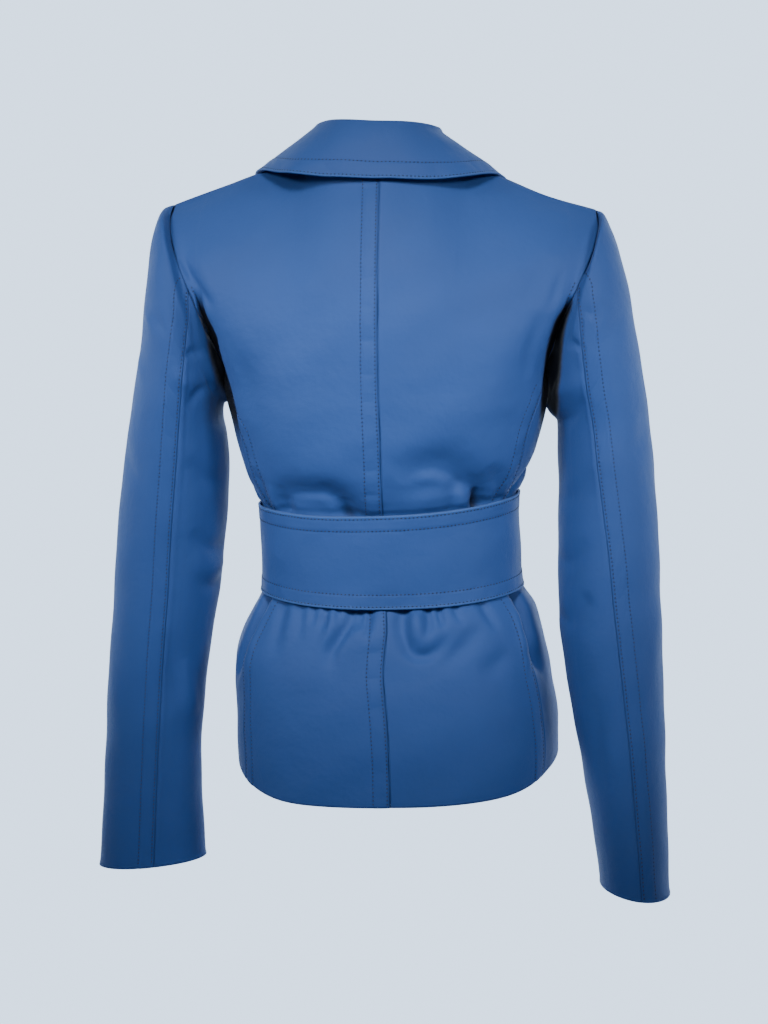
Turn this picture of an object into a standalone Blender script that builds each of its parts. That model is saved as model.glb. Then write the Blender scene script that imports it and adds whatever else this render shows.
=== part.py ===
"""Belted blazer in its worn form: a hollow garment of cut panels, with a two-piece sleeve on each side.

Metres, +Z up. The fronts face -Y and the wearer's left is +X. The origin is the middle of the neck
opening at the height where the shoulder seams meet the collar, where the wearer's shoulders hold it up.
"""

import math
from collections import namedtuple

import bmesh
import bpy
import numpy as np
from mathutils import Vector
from mathutils.bvhtree import BVHTree

# Cloth
CLOTH = 0.0015
COLLAR_CLOTH = 0.0020
BELT_CLOTH = 0.0026
SEAM_GAP = 0.0003
ARMHOLE_GAP = 0.00022
LAYER_GAP = 0.0004

# Torso
HEM_HEIGHT = -0.560
BELT_BOTTOM = -0.388
BELT_TOP = -0.306
ARMHOLE_BACK_HEIGHT = -0.185
UNDERARM_DROP = 0.030
SIDE_TUCK_TOP = -0.290
SIDE_HEM_RISE = 0.021
SIDE_HEM_FADE = 0.120
ROUNDNESS = 2.3
BACK_SEAM_ANGLE = 64.0
BACK_SEAM_WRAP = 7.0
BACK_SEAM_WRAP_HEIGHTS = (-0.245, -0.190)
FRONT_SEAM_ANGLE = 116.0
MEAN_RADIUS = 0.115
CHEST_MIDDLE = (0.0, 0.0, -0.15)
AXIS_TOP = -0.12

# Neck and shoulders
NECK_POINT = (0.068, 0.004, 0.003)
SHOULDER_POINT = (0.1886, 0.000, -0.0415)
CENTRE_BACK_NECK = (0.000, 0.058, -0.012)
NECK_DIP_POWER = 2.0
SHOULDER_SLOPE = 0.014
SHOULDER_SLOPE_HEIGHTS = (-0.180, -0.080)
RIGHT_SHOULDER_SAG = 0.004

# Front closing, the wearer's right over left
LAP_HALF = 0.030
LAP_LIFT = 0.0024
LAP_ANGLES = (142.0, 158.0)
LAP_FADE = (-0.200, -0.150)
BREAK_HEIGHT = -0.293
LAPEL_LIFT = 0.0014
LAPEL_PUFF = 0.0030

# Belt
BELT_HALF_LAP_ANGLE = 26.0
BELT_RISE_ANGLES = (112.0, 146.0)
BELT_LAP_ANGLES = (130.0, 146.0)

# Mesh steps: panel columns, and rows from the hem up
NECK_STEPS, SHOULDER_STEPS, SIDE_STEPS = 4, 9, 6
SKIRT_STEPS, WAIST_STEPS, BLOUSE_STEPS, YOKE_STEPS = 9, 3, 8, 8
SLEEVE_STEPS = 15
COLLAR_STEPS = 14
NORMAL_EASING = 5
SLEEVE_NORMAL_SHARE = 0.5
YOKE_EASING = 6
RIDGE_STEP = 10
LAPEL_STEPS_UP, LAPEL_STEPS_OUT = 10, 5
BELT_STEPS_ROUND, BELT_STEPS_UP = 66, 3

# Torso rings: how far the hang leans the ring sideways, its half width, its depth behind and before
# the shoulder line, and its slope across, which the belt's slant gives it
Ring = namedtuple("Ring", "height lean half_width back front slope")
RINGS = (
    Ring(-0.560, -0.0135, 0.1475, 0.1215, 0.1210, -0.034),
    Ring(-0.520, -0.0127, 0.1480, 0.1195, 0.1190, -0.030),
    Ring(-0.480, -0.0115, 0.1460, 0.1150, 0.1150, -0.026),
    Ring(-0.440, -0.0098, 0.1410, 0.1070, 0.1075, -0.024),
    Ring(-0.410, -0.0088, 0.1345, 0.0990, 0.1000, -0.023),
    Ring(-0.397, -0.0082, 0.1290, 0.0950, 0.0962, -0.024),
    Ring(-0.388, -0.0078, 0.1195, 0.0900, 0.0915, -0.024),
    Ring(-0.347, -0.0062, 0.1175, 0.0875, 0.0895, -0.036),
    Ring(-0.306, -0.0048, 0.1180, 0.0890, 0.0915, -0.049),
    Ring(-0.285, -0.0046, 0.1262, 0.0985, 0.1010, -0.042),
    Ring(-0.255, -0.0044, 0.1350, 0.1045, 0.1130, -0.028),
    Ring(-0.220, -0.0030, 0.1440, 0.1065, 0.1210, -0.010),
    Ring(-0.185, -0.0020, 0.1500, 0.1070, 0.1215, 0.000),
)

# Centre back above the underarm, from the last ring up to the neck: y and z
CENTRE_BACK = (
    (0.1070, -0.185),
    (0.1055, -0.145),
    (0.0990, -0.105),
    (0.0870, -0.065),
    (0.0730, -0.037),
    (0.0580, -0.012),
)

# Armhole seam, from the top of the side panel up to the shoulder point: x, y and z on the left. At the
# back it lies deep, behind the ridge that the back panel hangs in beside it
BACK_ARMHOLE = (
    (0.1520, 0.0440, -0.160),
    (0.1580, 0.0480, -0.142),
    (0.1690, 0.0525, -0.116),
    (0.1785, 0.0470, -0.094),
    (0.1868, 0.0315, -0.072),
    (0.1905, 0.0130, -0.053),
)
LEFT_BACK_RIDGE = (
    (0.1440, 0.0640, -0.158),
    (0.1530, 0.0660, -0.130),
    (0.1600, 0.0590, -0.100),
    (0.1605, 0.0420, -0.068),
    (0.1560, 0.0190, -0.042),
)
RIGHT_BACK_RIDGE = (
    (0.1465, 0.0630, -0.158),
    (0.1545, 0.0655, -0.130),
    (0.1615, 0.0590, -0.100),
    (0.1610, 0.0420, -0.068),
    (0.1560, 0.0190, -0.042),
)
FRONT_ARMHOLE = (
    (0.1475, -0.0660, -0.150),
    (0.1585, -0.0580, -0.112),
    (0.1725, -0.0400, -0.080),
    (0.1840, -0.0180, -0.055),
)

# Roll line of the front above the break, up to the neck point: x, y and z on the left
ROLL_LINE = (
    (0.0180, -0.1150, -0.150),
    (0.0295, -0.1010, -0.115),
    (0.0420, -0.0770, -0.075),
    (0.0535, -0.0460, -0.040),
)

# Sleeve sections from the cap to the cuff: the outer and the inner edge as seen from behind, the
# middle's place front to back, half the depth, and the elbow seam's angle from the outer edge over the back
SleeveSection = namedtuple("SleeveSection", "outer_x outer_z inner_x inner_z mid_y half_depth elbow")
LEFT_SLEEVE = (
    SleeveSection(0.1985, -0.0430, 0.1462, -0.2175, 0.001, 0.0590, 100.0),
    SleeveSection(0.2058, -0.0600, 0.1475, -0.2215, 0.001, 0.0640, 104.0),
    SleeveSection(0.2135, -0.1000, 0.1485, -0.2275, 0.001, 0.0680, 105.5),
    SleeveSection(0.2195, -0.1600, 0.1480, -0.2350, 0.000, 0.0660, 104.5),
    SleeveSection(0.2310, -0.2240, 0.1440, -0.2500, -0.001, 0.0620, 102.0),
    SleeveSection(0.2395, -0.2800, 0.1428, -0.2880, -0.002, 0.0580, 100.0),
    SleeveSection(0.2465, -0.3300, 0.1462, -0.3350, -0.003, 0.0540, 99.5),
    SleeveSection(0.2500, -0.3850, 0.1522, -0.3858, -0.003, 0.0500, 100.5),
    SleeveSection(0.2552, -0.4450, 0.1620, -0.4450, -0.002, 0.0455, 103.0),
    SleeveSection(0.2600, -0.5050, 0.1688, -0.5050, -0.001, 0.0405, 104.5),
    SleeveSection(0.2632, -0.5700, 0.1716, -0.5650, 0.000, 0.0355, 102.5),
    SleeveSection(0.2690, -0.6545, 0.1680, -0.6435, 0.001, 0.0310, 97.0),
)
RIGHT_SLEEVE = (
    SleeveSection(0.1955, -0.0475, 0.1462, -0.2175, 0.001, 0.0590, 90.0),
    SleeveSection(0.2035, -0.0640, 0.1480, -0.2215, 0.001, 0.0640, 95.0),
    SleeveSection(0.2155, -0.1000, 0.1510, -0.2260, 0.001, 0.0680, 100.5),
    SleeveSection(0.2275, -0.1610, 0.1545, -0.2290, 0.001, 0.0660, 104.5),
    SleeveSection(0.2385, -0.2240, 0.1568, -0.2360, 0.003, 0.0640, 105.0),
    SleeveSection(0.2440, -0.2760, 0.1578, -0.2810, 0.011, 0.0620, 101.0),
    SleeveSection(0.2478, -0.3250, 0.1582, -0.3290, 0.021, 0.0590, 94.0),
    SleeveSection(0.2498, -0.3800, 0.1587, -0.3820, 0.032, 0.0560, 88.0),
    SleeveSection(0.2522, -0.4350, 0.1632, -0.4330, 0.043, 0.0525, 84.0),
    SleeveSection(0.2548, -0.4950, 0.1738, -0.4930, 0.054, 0.0490, 82.5),
    SleeveSection(0.2568, -0.5600, 0.1858, -0.5560, 0.066, 0.0465, 81.5),
    SleeveSection(0.2600, -0.6430, 0.1985, -0.6350, 0.079, 0.0450, 82.0),
)
# Angle round the sleeve, from its outer edge over the back, at marks along the armhole seam
SIDE_PANEL_ANGLES = (138.0, 222.0)
FRONT_PITCH_ANGLE = 278.0
ELBOW_SEAM_STEP = 4
FRONT_SEAM_STEP_FROM_SIDE = 2

# Collar sections from the centre back to the gorge: the neck seam, the roll at the top of the stand
# and the free edge of the fall
CollarSection = namedtuple("CollarSection", "neck roll edge")
COLLAR = (
    CollarSection((0.0000, 0.0570, -0.0105), (0.0000, 0.0450, 0.0290), (0.0000, 0.0700, -0.0160)),
    CollarSection((0.0330, 0.0495, -0.0070), (0.0290, 0.0395, 0.0295), (0.0400, 0.0670, -0.0150)),
    CollarSection((0.0580, 0.0270, 0.0005), (0.0490, 0.0215, 0.0275), (0.0790, 0.0480, -0.0120)),
    CollarSection((0.0672, 0.0040, 0.0045), (0.0560, 0.0010, 0.0225), (0.1070, 0.0060, -0.0085)),
    CollarSection((0.0630, -0.0170, -0.0105), (0.0570, -0.0200, 0.0020), (0.1160, -0.0330, -0.0190)),
    CollarSection((0.0530, -0.0480, -0.0395), (0.0530, -0.0510, -0.0365), (0.1170, -0.0610, -0.0440)),
)
COLLAR_ROLL_RADIUS = 0.0034
COLLAR_FALL_BULGE = 0.0015
COLLAR_CLEARANCE = 0.0032
COLLAR_SHIFT = 0.0055
COLLAR_SHIFT_SHARES = (0.0, 0.3, 0.6, 0.8, 1.0, 1.0, 1.0, 1.0, 1.0)
COLLAR_LOW_ROLL_SHARE, COLLAR_LEAST_ROLL = 0.6, 0.001
FALL_SHARES = (0.28, 0.52, 0.76)
FALL_START = 5

# Lapel lines from the bottom up, as seen from the front: the height where each line leaves the roll
# line, and where it ends on the free edge
LapelLine = namedtuple("LapelLine", "roll_z edge_x edge_z")
RIGHT_LAPEL = (
    LapelLine(-0.2890, -0.0200, -0.2885),
    LapelLine(-0.2440, 0.0240, -0.2480),
    LapelLine(-0.2000, 0.0600, -0.2080),
    LapelLine(-0.1530, 0.0900, -0.1620),
    LapelLine(-0.1140, 0.1090, -0.1230),
    LapelLine(-0.0760, 0.1190, -0.0990),
    LapelLine(-0.0470, 0.1230, -0.0840),
)
LEFT_LAPEL = (
    LapelLine(-0.1930, 0.0260, -0.2450),
    LapelLine(-0.1780, 0.0480, -0.2220),
    LapelLine(-0.1530, 0.0780, -0.1800),
    LapelLine(-0.1140, 0.1060, -0.1290),
    LapelLine(-0.0760, 0.1190, -0.0990),
    LapelLine(-0.0470, 0.1230, -0.0840),
)
LAPEL_INSET = 0.0006
FRONT_OF_CHEST = -0.15

# Largest folds: three points of the fold's line (angle from the centre back towards the wearer's
# left, height), half width, and how far the cloth stands out (or in, below zero) along it
Fold = namedtuple("Fold", "start middle end half_width out")
FOLDS = (
    Fold((49, -0.296), (28, -0.2735), (11, -0.303), 0.0075, -0.0060),
    Fold((38, -0.298), (27, -0.2945), (17, -0.299), 0.0085, 0.0038),
    Fold((46, -0.268), (28, -0.258), (9, -0.270), 0.0110, 0.0028),
    Fold((-9, -0.2635), (-24, -0.2535), (-51, -0.303), 0.0085, -0.0058),
    Fold((-24, -0.2635), (-27.5, -0.2775), (-28, -0.2945), 0.0080, -0.0038),
    Fold((-10, -0.282), (-16, -0.278), (-22, -0.286), 0.0095, 0.0026),
    Fold((-8, -0.248), (-24, -0.236), (-48, -0.270), 0.0115, 0.0024),
    Fold((19.8, -0.391), (16.2, -0.4155), (16.5, -0.4385), 0.0075, -0.0040),
    Fold((-4.2, -0.394), (-6.8, -0.4225), (-10, -0.434), 0.0075, -0.0040),
    Fold((-10, -0.434), (-16.8, -0.422), (-19.5, -0.402), 0.0075, -0.0040),
    Fold((63, -0.392), (60, -0.416), (59, -0.450), 0.0090, 0.0046),
    Fold((80, -0.393), (75, -0.420), (74, -0.468), 0.0110, -0.0130),
    Fold((97, -0.392), (95, -0.430), (95, -0.480), 0.0160, 0.0045),
    Fold((-63, -0.392), (-60, -0.416), (-59, -0.450), 0.0090, 0.0046),
    Fold((-78, -0.392), (-75, -0.420), (-75, -0.466), 0.0110, -0.0130),
    Fold((-99, -0.392), (-98, -0.430), (-98, -0.480), 0.0140, 0.0025),
    Fold((122, -0.391), (125, -0.420), (127, -0.465), 0.0100, -0.0060),
    Fold((-122, -0.391), (-126, -0.418), (-128, -0.460), 0.0100, -0.0060),
    Fold((106, -0.302), (121, -0.272), (139, -0.302), 0.0090, -0.0058),
    Fold((-108, -0.302), (-124, -0.268), (-143, -0.302), 0.0090, -0.0058),
    Fold((72, -0.300), (86, -0.276), (100, -0.302), 0.0090, -0.0050),
    Fold((-70, -0.300), (-84, -0.274), (-98, -0.302), 0.0090, -0.0050),
)
FOLD_BELT_EDGE, FOLD_BELT_FADE = 0.001, 0.006
FOLD_POINTS = 9

BLUE = (0.055, 0.140, 0.330, 1.0)
CLOTH_ROUGHNESS = 0.62
SHARP_EDGE = math.radians(50)


def smooth(at, knots, values):
    """The value at a place on a smooth curve through values at rising knots."""
    knots = np.asarray(knots, float)
    values = np.asarray(values, float)
    slopes = np.gradient(values, knots, axis=0)
    at = np.clip(np.asarray(at, float), knots[0], knots[-1])
    low = np.clip(np.searchsorted(knots, at, side="right") - 1, 0, len(knots) - 2)
    span = knots[low + 1] - knots[low]
    t = (at - knots[low]) / span
    if values.ndim > 1:
        span, t = span[..., None], t[..., None]
    return (
        (2 * t**3 - 3 * t**2 + 1) * values[low]
        + (t**3 - 2 * t**2 + t) * span * slopes[low]
        + (3 * t**2 - 2 * t**3) * values[low + 1]
        + (t**3 - t**2) * span * slopes[low + 1]
    )


def through(points, at):
    """Points along a smooth curve through the given points, at shares of its length."""
    points = np.asarray(points, float)
    knots = np.concatenate([[0], np.cumsum(np.linalg.norm(np.diff(points, axis=0), axis=1))])
    return smooth(np.asarray(at, float) * knots[-1], knots, points)


def step(x, low, high):
    """0 before low, 1 after high, and a smooth rise between them."""
    t = np.clip((np.asarray(x, float) - low) / (high - low), 0, 1)
    return t * t * (3 - 2 * t)


def fold_line(fold):
    """Points of one fold's line: girth from the centre back, and height, in metres."""
    a, b, c = (np.array([math.radians(angle) * MEAN_RADIUS, height]) for angle, height in fold[:3])
    t = np.linspace(0, 1, FOLD_POINTS)[:, None]
    return (1 - t) ** 2 * a + 2 * t * (1 - t) * (2 * b - (a + c) / 2) + t**2 * c


def fold_lift(angle, height):
    """How far the folds move the torso's cloth outwards at an angle and a height."""
    place = np.stack([np.radians(angle) * MEAN_RADIUS, height], axis=-1)
    lift = np.zeros(place.shape[:-1])
    for fold in FOLDS:
        line = fold_line(fold)
        near = np.full(lift.shape, np.inf)
        for start, end in zip(line[:-1], line[1:]):
            way = end - start
            share = np.clip(((place - start) @ way) / (way @ way), 0, 1)
            near = np.minimum(near, np.linalg.norm(place - start - share[..., None] * way, axis=-1))
        lift += fold.out * np.exp(-((near / fold.half_width) ** 2))
    below = 1 - step(height, BELT_BOTTOM - FOLD_BELT_FADE, BELT_BOTTOM - FOLD_BELT_EDGE)
    above = step(height, BELT_TOP + FOLD_BELT_EDGE, BELT_TOP + FOLD_BELT_FADE)
    return lift * (below + above)


def torso(side, angle, height, out=0.0, folds=True):
    """Points of the torso at an angle from the centre back towards one side, moved outwards."""
    angle, height = np.broadcast_arrays(np.asarray(angle, float), np.asarray(height, float))
    table = np.array(RINGS)
    lean, half, back, front, slope = np.moveaxis(smooth(height, table[:, 0], table[:, 1:]), -1, 0)
    sine, cosine = np.sin(np.radians(angle)), np.cos(np.radians(angle))
    depth = np.where(cosine > 0, back, front)
    x = side * half * np.sign(sine) * np.abs(sine) ** (2 / ROUNDNESS)
    y = depth * np.sign(cosine) * np.abs(cosine) ** (2 / ROUNDNESS)
    normal = np.stack([x / half**2, y / depth**2], axis=-1)
    normal /= np.linalg.norm(normal, axis=-1, keepdims=True)
    if folds:
        out = out + fold_lift(side * angle, height)
    rise = SIDE_HEM_RISE * np.abs(sine) ** 6 * (1 - step(height, HEM_HEIGHT, HEM_HEIGHT + SIDE_HEM_FADE))
    z = height + rise + slope * x
    return np.stack([lean + x + out * normal[..., 0], y + out * normal[..., 1], z], axis=-1)


def ring_heights():
    """Heights of the panels' rows from the hem to the last ring."""
    return np.concatenate([
        np.linspace(HEM_HEIGHT, BELT_BOTTOM, SKIRT_STEPS + 1),
        np.linspace(BELT_BOTTOM, BELT_TOP, WAIST_STEPS + 1)[1:],
        np.linspace(BELT_TOP, ARMHOLE_BACK_HEIGHT, BLOUSE_STEPS + 1)[1:],
    ])


def sided(points, side):
    """Points given for the wearer's left, on one side, with the shoulders' slant."""
    points = np.asarray(points, float) * (side, 1, 1)
    slant = SHOULDER_SLOPE * points[..., 0] * step(points[..., 2], *SHOULDER_SLOPE_HEIGHTS)
    points[..., 2] += slant
    return points


def patch(bottom, top, inner, outer):
    """Rows of points that fill four meeting edges: bottom and top by column, inner and outer by row."""
    v = np.linspace(0, 1, len(inner))[:, None, None]
    u = np.linspace(0, 1, len(bottom))[None, :, None]
    rise = v * v * (3 - 2 * v)
    across = (1 - u) * inner[:, None] + u * outer[:, None]
    low = bottom[None] - ((1 - u) * inner[0] + u * outer[0])
    high = top[None] - ((1 - u) * inner[-1] + u * outer[-1])
    return across + (1 - rise) * low + rise * high


def eased(grid, rows, rounds=YOKE_EASING):
    """The grid with its inner points from the top down drawn towards the mean of their neighbours."""
    grid = grid.copy()
    for _ in range(rounds):
        mean = (grid[:-2, 1:-1] + grid[2:, 1:-1] + grid[1:-1, :-2] + grid[1:-1, 2:]) / 4
        grid[1:-1, 1:-1][-rows:] = (grid[1:-1, 1:-1][-rows:] + mean[-rows:]) / 2
    return grid


def shoulder_seam(side):
    t = np.linspace(0, 1, SHOULDER_STEPS + 1)[:, None]
    seam = sided((1 - t) * NECK_POINT + t * np.array(SHOULDER_POINT), side)
    if side < 0:
        seam[:, 2] -= RIGHT_SHOULDER_SAG * np.sin(np.pi * t[:, 0])
    return seam


def back_neck(side):
    """The back neckline, from the centre back to the neck point."""
    t = np.radians(np.linspace(0, 90, NECK_STEPS + 1))
    dip = np.sin(t) ** NECK_DIP_POWER
    x = NECK_POINT[0] * np.sin(t)
    y = NECK_POINT[1] + (CENTRE_BACK_NECK[1] - NECK_POINT[1]) * np.cos(t)
    z = CENTRE_BACK_NECK[2] + (NECK_POINT[2] - CENTRE_BACK_NECK[2]) * dip
    return sided(np.stack([x, y, z], axis=-1), side)


def back_seam_angle(heights):
    """Angle of the seam between back and side panel, which turns round the side below the armhole."""
    return BACK_SEAM_ANGLE + BACK_SEAM_WRAP * step(heights, *BACK_SEAM_WRAP_HEIGHTS)


def back_panel(side):
    """From the centre back to the side panel, and above that over a ridge down into the armhole."""
    heights = ring_heights()[:, None]
    angles = np.linspace(0, 1, NECK_STEPS + SHOULDER_STEPS + 1) * back_seam_angle(heights)
    lower = torso(side, angles, heights)
    rows = np.linspace(0, 1, YOKE_STEPS + 1)
    bottom = lower[-1]
    centre = [bottom[0]] + [(bottom[0][0] * (z / ARMHOLE_BACK_HEIGHT), y, z) for y, z in CENTRE_BACK[1:]]
    armhole = [bottom[-1], *sided(BACK_ARMHOLE, side), sided(SHOULDER_POINT, side)]
    top = np.concatenate([back_neck(side), shoulder_seam(side)[1:]])
    top[0] = centre[-1]
    hang = LEFT_BACK_RIDGE if side > 0 else RIGHT_BACK_RIDGE
    ridge = through([bottom[RIDGE_STEP], *sided(hang, side), top[RIDGE_STEP]], rows)
    inner = patch(bottom[: RIDGE_STEP + 1], top[: RIDGE_STEP + 1], through(centre, rows), ridge)
    outer = patch(bottom[RIDGE_STEP:], top[RIDGE_STEP:], ridge, through(armhole, rows))
    upper = np.concatenate([inner, outer[:, 1:]], axis=1)
    return eased(np.concatenate([lower, upper[1:]]), YOKE_STEPS + 1)


def side_panel(side):
    """From the hem to the lower arc of the armhole, which dips to the underarm."""
    heights = ring_heights()[:, None]
    share = np.linspace(0, 1, SIDE_STEPS + 1)
    angles = (1 - share) * back_seam_angle(heights) + share * FRONT_SEAM_ANGLE
    dip = UNDERARM_DROP * np.sin(np.pi * share) ** 2
    rise = np.clip((heights - SIDE_TUCK_TOP) / (ARMHOLE_BACK_HEIGHT - SIDE_TUCK_TOP), 0, 1)
    return torso(side, angles, heights - dip * rise)


def front_edge_angle(height, lap_half):
    """Angle of a front's inner edge: past the centre below the break, on the roll line above it."""
    table = np.array(RINGS)
    depth_half = smooth(height, table[:, 0], table[:, 2])
    roll = np.array([(-lap_half, BREAK_HEIGHT), (ROLL_LINE[0][0], ROLL_LINE[0][2])])
    x = np.where(height < BREAK_HEIGHT, -lap_half, np.interp(height, roll[:, 1], roll[:, 0]))
    return 180 - np.sign(x) * np.degrees(np.arcsin((np.abs(x) / depth_half) ** (ROUNDNESS / 2)))


def front_panel(side):
    """From the lapping front edge to the side panel, the wearer's right front lifted over the left."""
    heights = ring_heights()
    inner = front_edge_angle(heights, LAP_HALF)[:, None]
    share = np.linspace(0, 1, SHOULDER_STEPS + 1)[None]
    angles = inner + (FRONT_SEAM_ANGLE - inner) * share
    lift = LAP_LIFT * step(angles, *LAP_ANGLES) * (1 - step(heights, *LAP_FADE))[:, None]
    lower = torso(side, angles, heights[:, None], lift if side < 0 else 0.0)
    rows = np.linspace(0, 1, YOKE_STEPS + 1)
    bottom = lower[-1]
    roll = [bottom[0], *sided(ROLL_LINE, side), sided(NECK_POINT, side)]
    armhole = [bottom[-1], *sided(FRONT_ARMHOLE, side), sided(SHOULDER_POINT, side)]
    upper = patch(bottom, shoulder_seam(side), through(roll, rows), through(armhole, rows))
    return eased(np.concatenate([lower, upper[1:]]), YOKE_STEPS + 1)


def armhole_loop(back, flank, front):
    """The armhole seam as one ring: down the back from the shoulder point, under the arm, up the front."""
    yoke = slice(-YOKE_STEPS - 1, None)
    return np.concatenate([back[yoke, -1][::-1], flank[-1][1:-1], front[yoke, -1]])


def sleeve(side, table, loop):
    """Rings from the armhole seam to the cuff, each with a point for each point of the seam."""
    last = len(loop) - 1
    marks = (0, ELBOW_SEAM_STEP, YOKE_STEPS, YOKE_STEPS + SIDE_STEPS, last - ELBOW_SEAM_STEP, last)
    table = np.array(table)
    rows = smooth(np.linspace(0, len(table) - 1, SLEEVE_STEPS), np.arange(len(table)), table)
    rings = [loop]
    for section in map(SleeveSection._make, rows):
        turns = (0, section.elbow, *SIDE_PANEL_ANGLES, FRONT_PITCH_ANGLE, 360)
        angles = np.radians(np.interp(np.arange(len(loop)), marks, turns))
        across = (1 + np.cos(angles)) / 2
        x = section.inner_x + (section.outer_x - section.inner_x) * across
        y = section.mid_y + section.half_depth * np.sin(angles)
        z = section.inner_z + (section.outer_z - section.inner_z) * across
        rings.append(np.stack([side * x, y, z], axis=-1))
    return np.array(rings)


def grid_normals(grid):
    """Unnormalised point normals of a grid of rows and columns."""
    normals = np.zeros_like(grid)
    cross = np.cross(grid[1:, 1:] - grid[:-1, :-1], grid[1:, :-1] - grid[:-1, 1:])
    for rows in (slice(None, -1), slice(1, None)):
        for columns in (slice(None, -1), slice(1, None)):
            normals[rows, columns] += cross
    return normals


def unit(vectors):
    return vectors / np.maximum(np.linalg.norm(vectors, axis=-1, keepdims=True), 1e-12)


def outward_normals(grids, centres):
    """Point normals of all grids, shared where seams meet so that neighbouring walls are mitred. At the
    armhole they follow the body more than the sleeve, which turns away sharply there."""
    shared, beside = {}, {}
    keys = {}
    for name, grid in grids.items():
        normal = grid_normals(grid)
        if np.sum(normal * (grid - centres[name])) < 0:
            normal = -normal
        if "sleeve" in name:
            normal = SLEEVE_NORMAL_SHARE * normal
        keys[name] = {place: tuple(np.round(grid[place], 6)) for place in np.ndindex(grid.shape[:2])}
        for (row, column), key in keys[name].items():
            shared[key] = shared.get(key, 0) + normal[row, column]
            for other in ((row + 1, column), (row, column + 1)):
                if other in keys[name]:
                    beside.setdefault(key, set()).add(keys[name][other])
                    beside.setdefault(keys[name][other], set()).add(key)
    shared = {key: unit(normal) for key, normal in shared.items()}
    for _ in range(NORMAL_EASING):
        shared = {key: unit(normal + sum(shared[k] for k in beside[key]) / len(beside[key]))
                  for key, normal in shared.items()}
    return {
        name: np.array([shared[key] for key in keys[name].values()]).reshape(grid.shape)
        for name, grid in grids.items()
    }


def trimmed(grid, first_gap):
    """The grid with each edge drawn in, which leaves the seam gap between neighbours."""
    drawn = grid.copy()
    for edge, inside, gap in ((0, 1, first_gap), (-1, -2, SEAM_GAP / 2)):
        drawn[edge] += gap * unit(grid[inside] - grid[edge])
        drawn[:, edge] += SEAM_GAP / 2 * unit(grid[:, inside] - grid[:, edge])
    return drawn


def cloth_material(piece):
    material = bpy.data.materials.new(f"{piece}_cotton")
    material.use_nodes = True
    shader = material.node_tree.nodes["Principled BSDF"]
    shader.inputs["Base Color"].default_value = BLUE
    shader.inputs["Roughness"].default_value = CLOTH_ROUGHNESS
    shader.inputs["Metallic"].default_value = 0.0
    return material


def wall(name, face, back, collection):
    """A closed wall between two grids of points: the face, and the back under it."""
    rows, columns = face.shape[:2]
    bm = bmesh.new()
    bmesh.ops.create_grid(bm, x_segments=columns - 1, y_segments=rows - 1, size=1.0)
    lifted = bmesh.ops.extrude_face_region(bm, geom=bm.faces[:], use_keep_orig=True)
    backs = {v for v in lifted["geom"] if isinstance(v, bmesh.types.BMVert)}
    for vert in bm.verts:
        column = round((vert.co.x + 1) / 2 * (columns - 1))
        row = round((vert.co.y + 1) / 2 * (rows - 1))
        vert.co = Vector((back if vert in backs else face)[row, column])
    bmesh.ops.recalc_face_normals(bm, faces=bm.faces[:])
    if bm.calc_volume(signed=True) < 0:
        bmesh.ops.reverse_faces(bm, faces=bm.faces[:])
    mesh = bpy.data.meshes.new(name)
    bm.to_mesh(mesh)
    bm.free()
    mesh.shade_smooth()
    mesh.set_sharp_from_angle(angle=SHARP_EDGE)
    mesh.materials.append(cloth_material(name))
    obj = bpy.data.objects.new(name, mesh)
    collection.objects.link(obj)
    return obj


def surface_tree(grids):
    """A search tree over the outer faces of several grids."""
    points, faces = [], []
    for grid in grids:
        rows, columns = grid.shape[:2]
        start = len(points)
        points.extend(map(tuple, grid.reshape(-1, 3)))
        for row in range(rows - 1):
            for column in range(columns - 1):
                corner = start + row * columns + column
                faces.append((corner, corner + 1, corner + columns + 1, corner + columns))
    return BVHTree.FromPolygons(points, faces)


def kept_clear(points, tree, inside, clearance):
    """Points moved out to a clearance from the panels under them, away from a point inside."""
    moved = points.copy()
    for place in np.ndindex(points.shape[:-1]):
        near, normal, _, _ = tree.find_nearest(Vector(points[place]))
        if normal.dot(near - Vector(inside)) < 0:
            normal = -normal
        height = (Vector(points[place]) - near).dot(normal)
        if height < clearance:
            moved[place] = np.array(Vector(points[place]) + normal * (clearance - height))
    return moved


def collar_section(neck, roll, edge):
    """Points across the collar: up the stand, over the roll and down the fall."""
    out = unit(edge - roll - np.array([0, 0, (edge - roll)[2]]))
    up = np.array([0.0, 0.0, 1.0])
    stand = np.linalg.norm(roll - neck)
    radius = min(COLLAR_ROLL_RADIUS, COLLAR_LOW_ROLL_SHARE * stand + COLLAR_LEAST_ROLL)
    inner, top, outer = roll - radius * out, roll + radius * up, roll + radius * out
    t = np.array(FALL_SHARES)[:, None]
    lift = COLLAR_FALL_BULGE * np.sin(np.pi * t)
    fall = (1 - t) * outer + t * edge + lift * unit(np.cross(np.cross(out, up), edge - outer))
    return np.array([neck, (neck + inner) / 2, inner, top, outer, *fall, edge])


def collar_grid(tree):
    half = np.linspace(0, 1, COLLAR_STEPS + 1)
    sections = through(np.array(COLLAR).reshape(len(COLLAR), -1), half)
    left = np.array([collar_section(*section.reshape(3, 3)) for section in sections])
    fall = slice(FALL_START, None)
    right = left * (-1, 1, 1)
    grid = np.concatenate([right[:0:-1], left])
    ends = 1 - np.abs(np.linspace(-1, 1, len(grid))) ** 4
    grid[..., 0] += COLLAR_SHIFT * ends[:, None] * COLLAR_SHIFT_SHARES
    grid[:, fall] = kept_clear(grid[:, fall], tree, CHEST_MIDDLE, COLLAR_CLEARANCE)
    return grid


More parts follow.
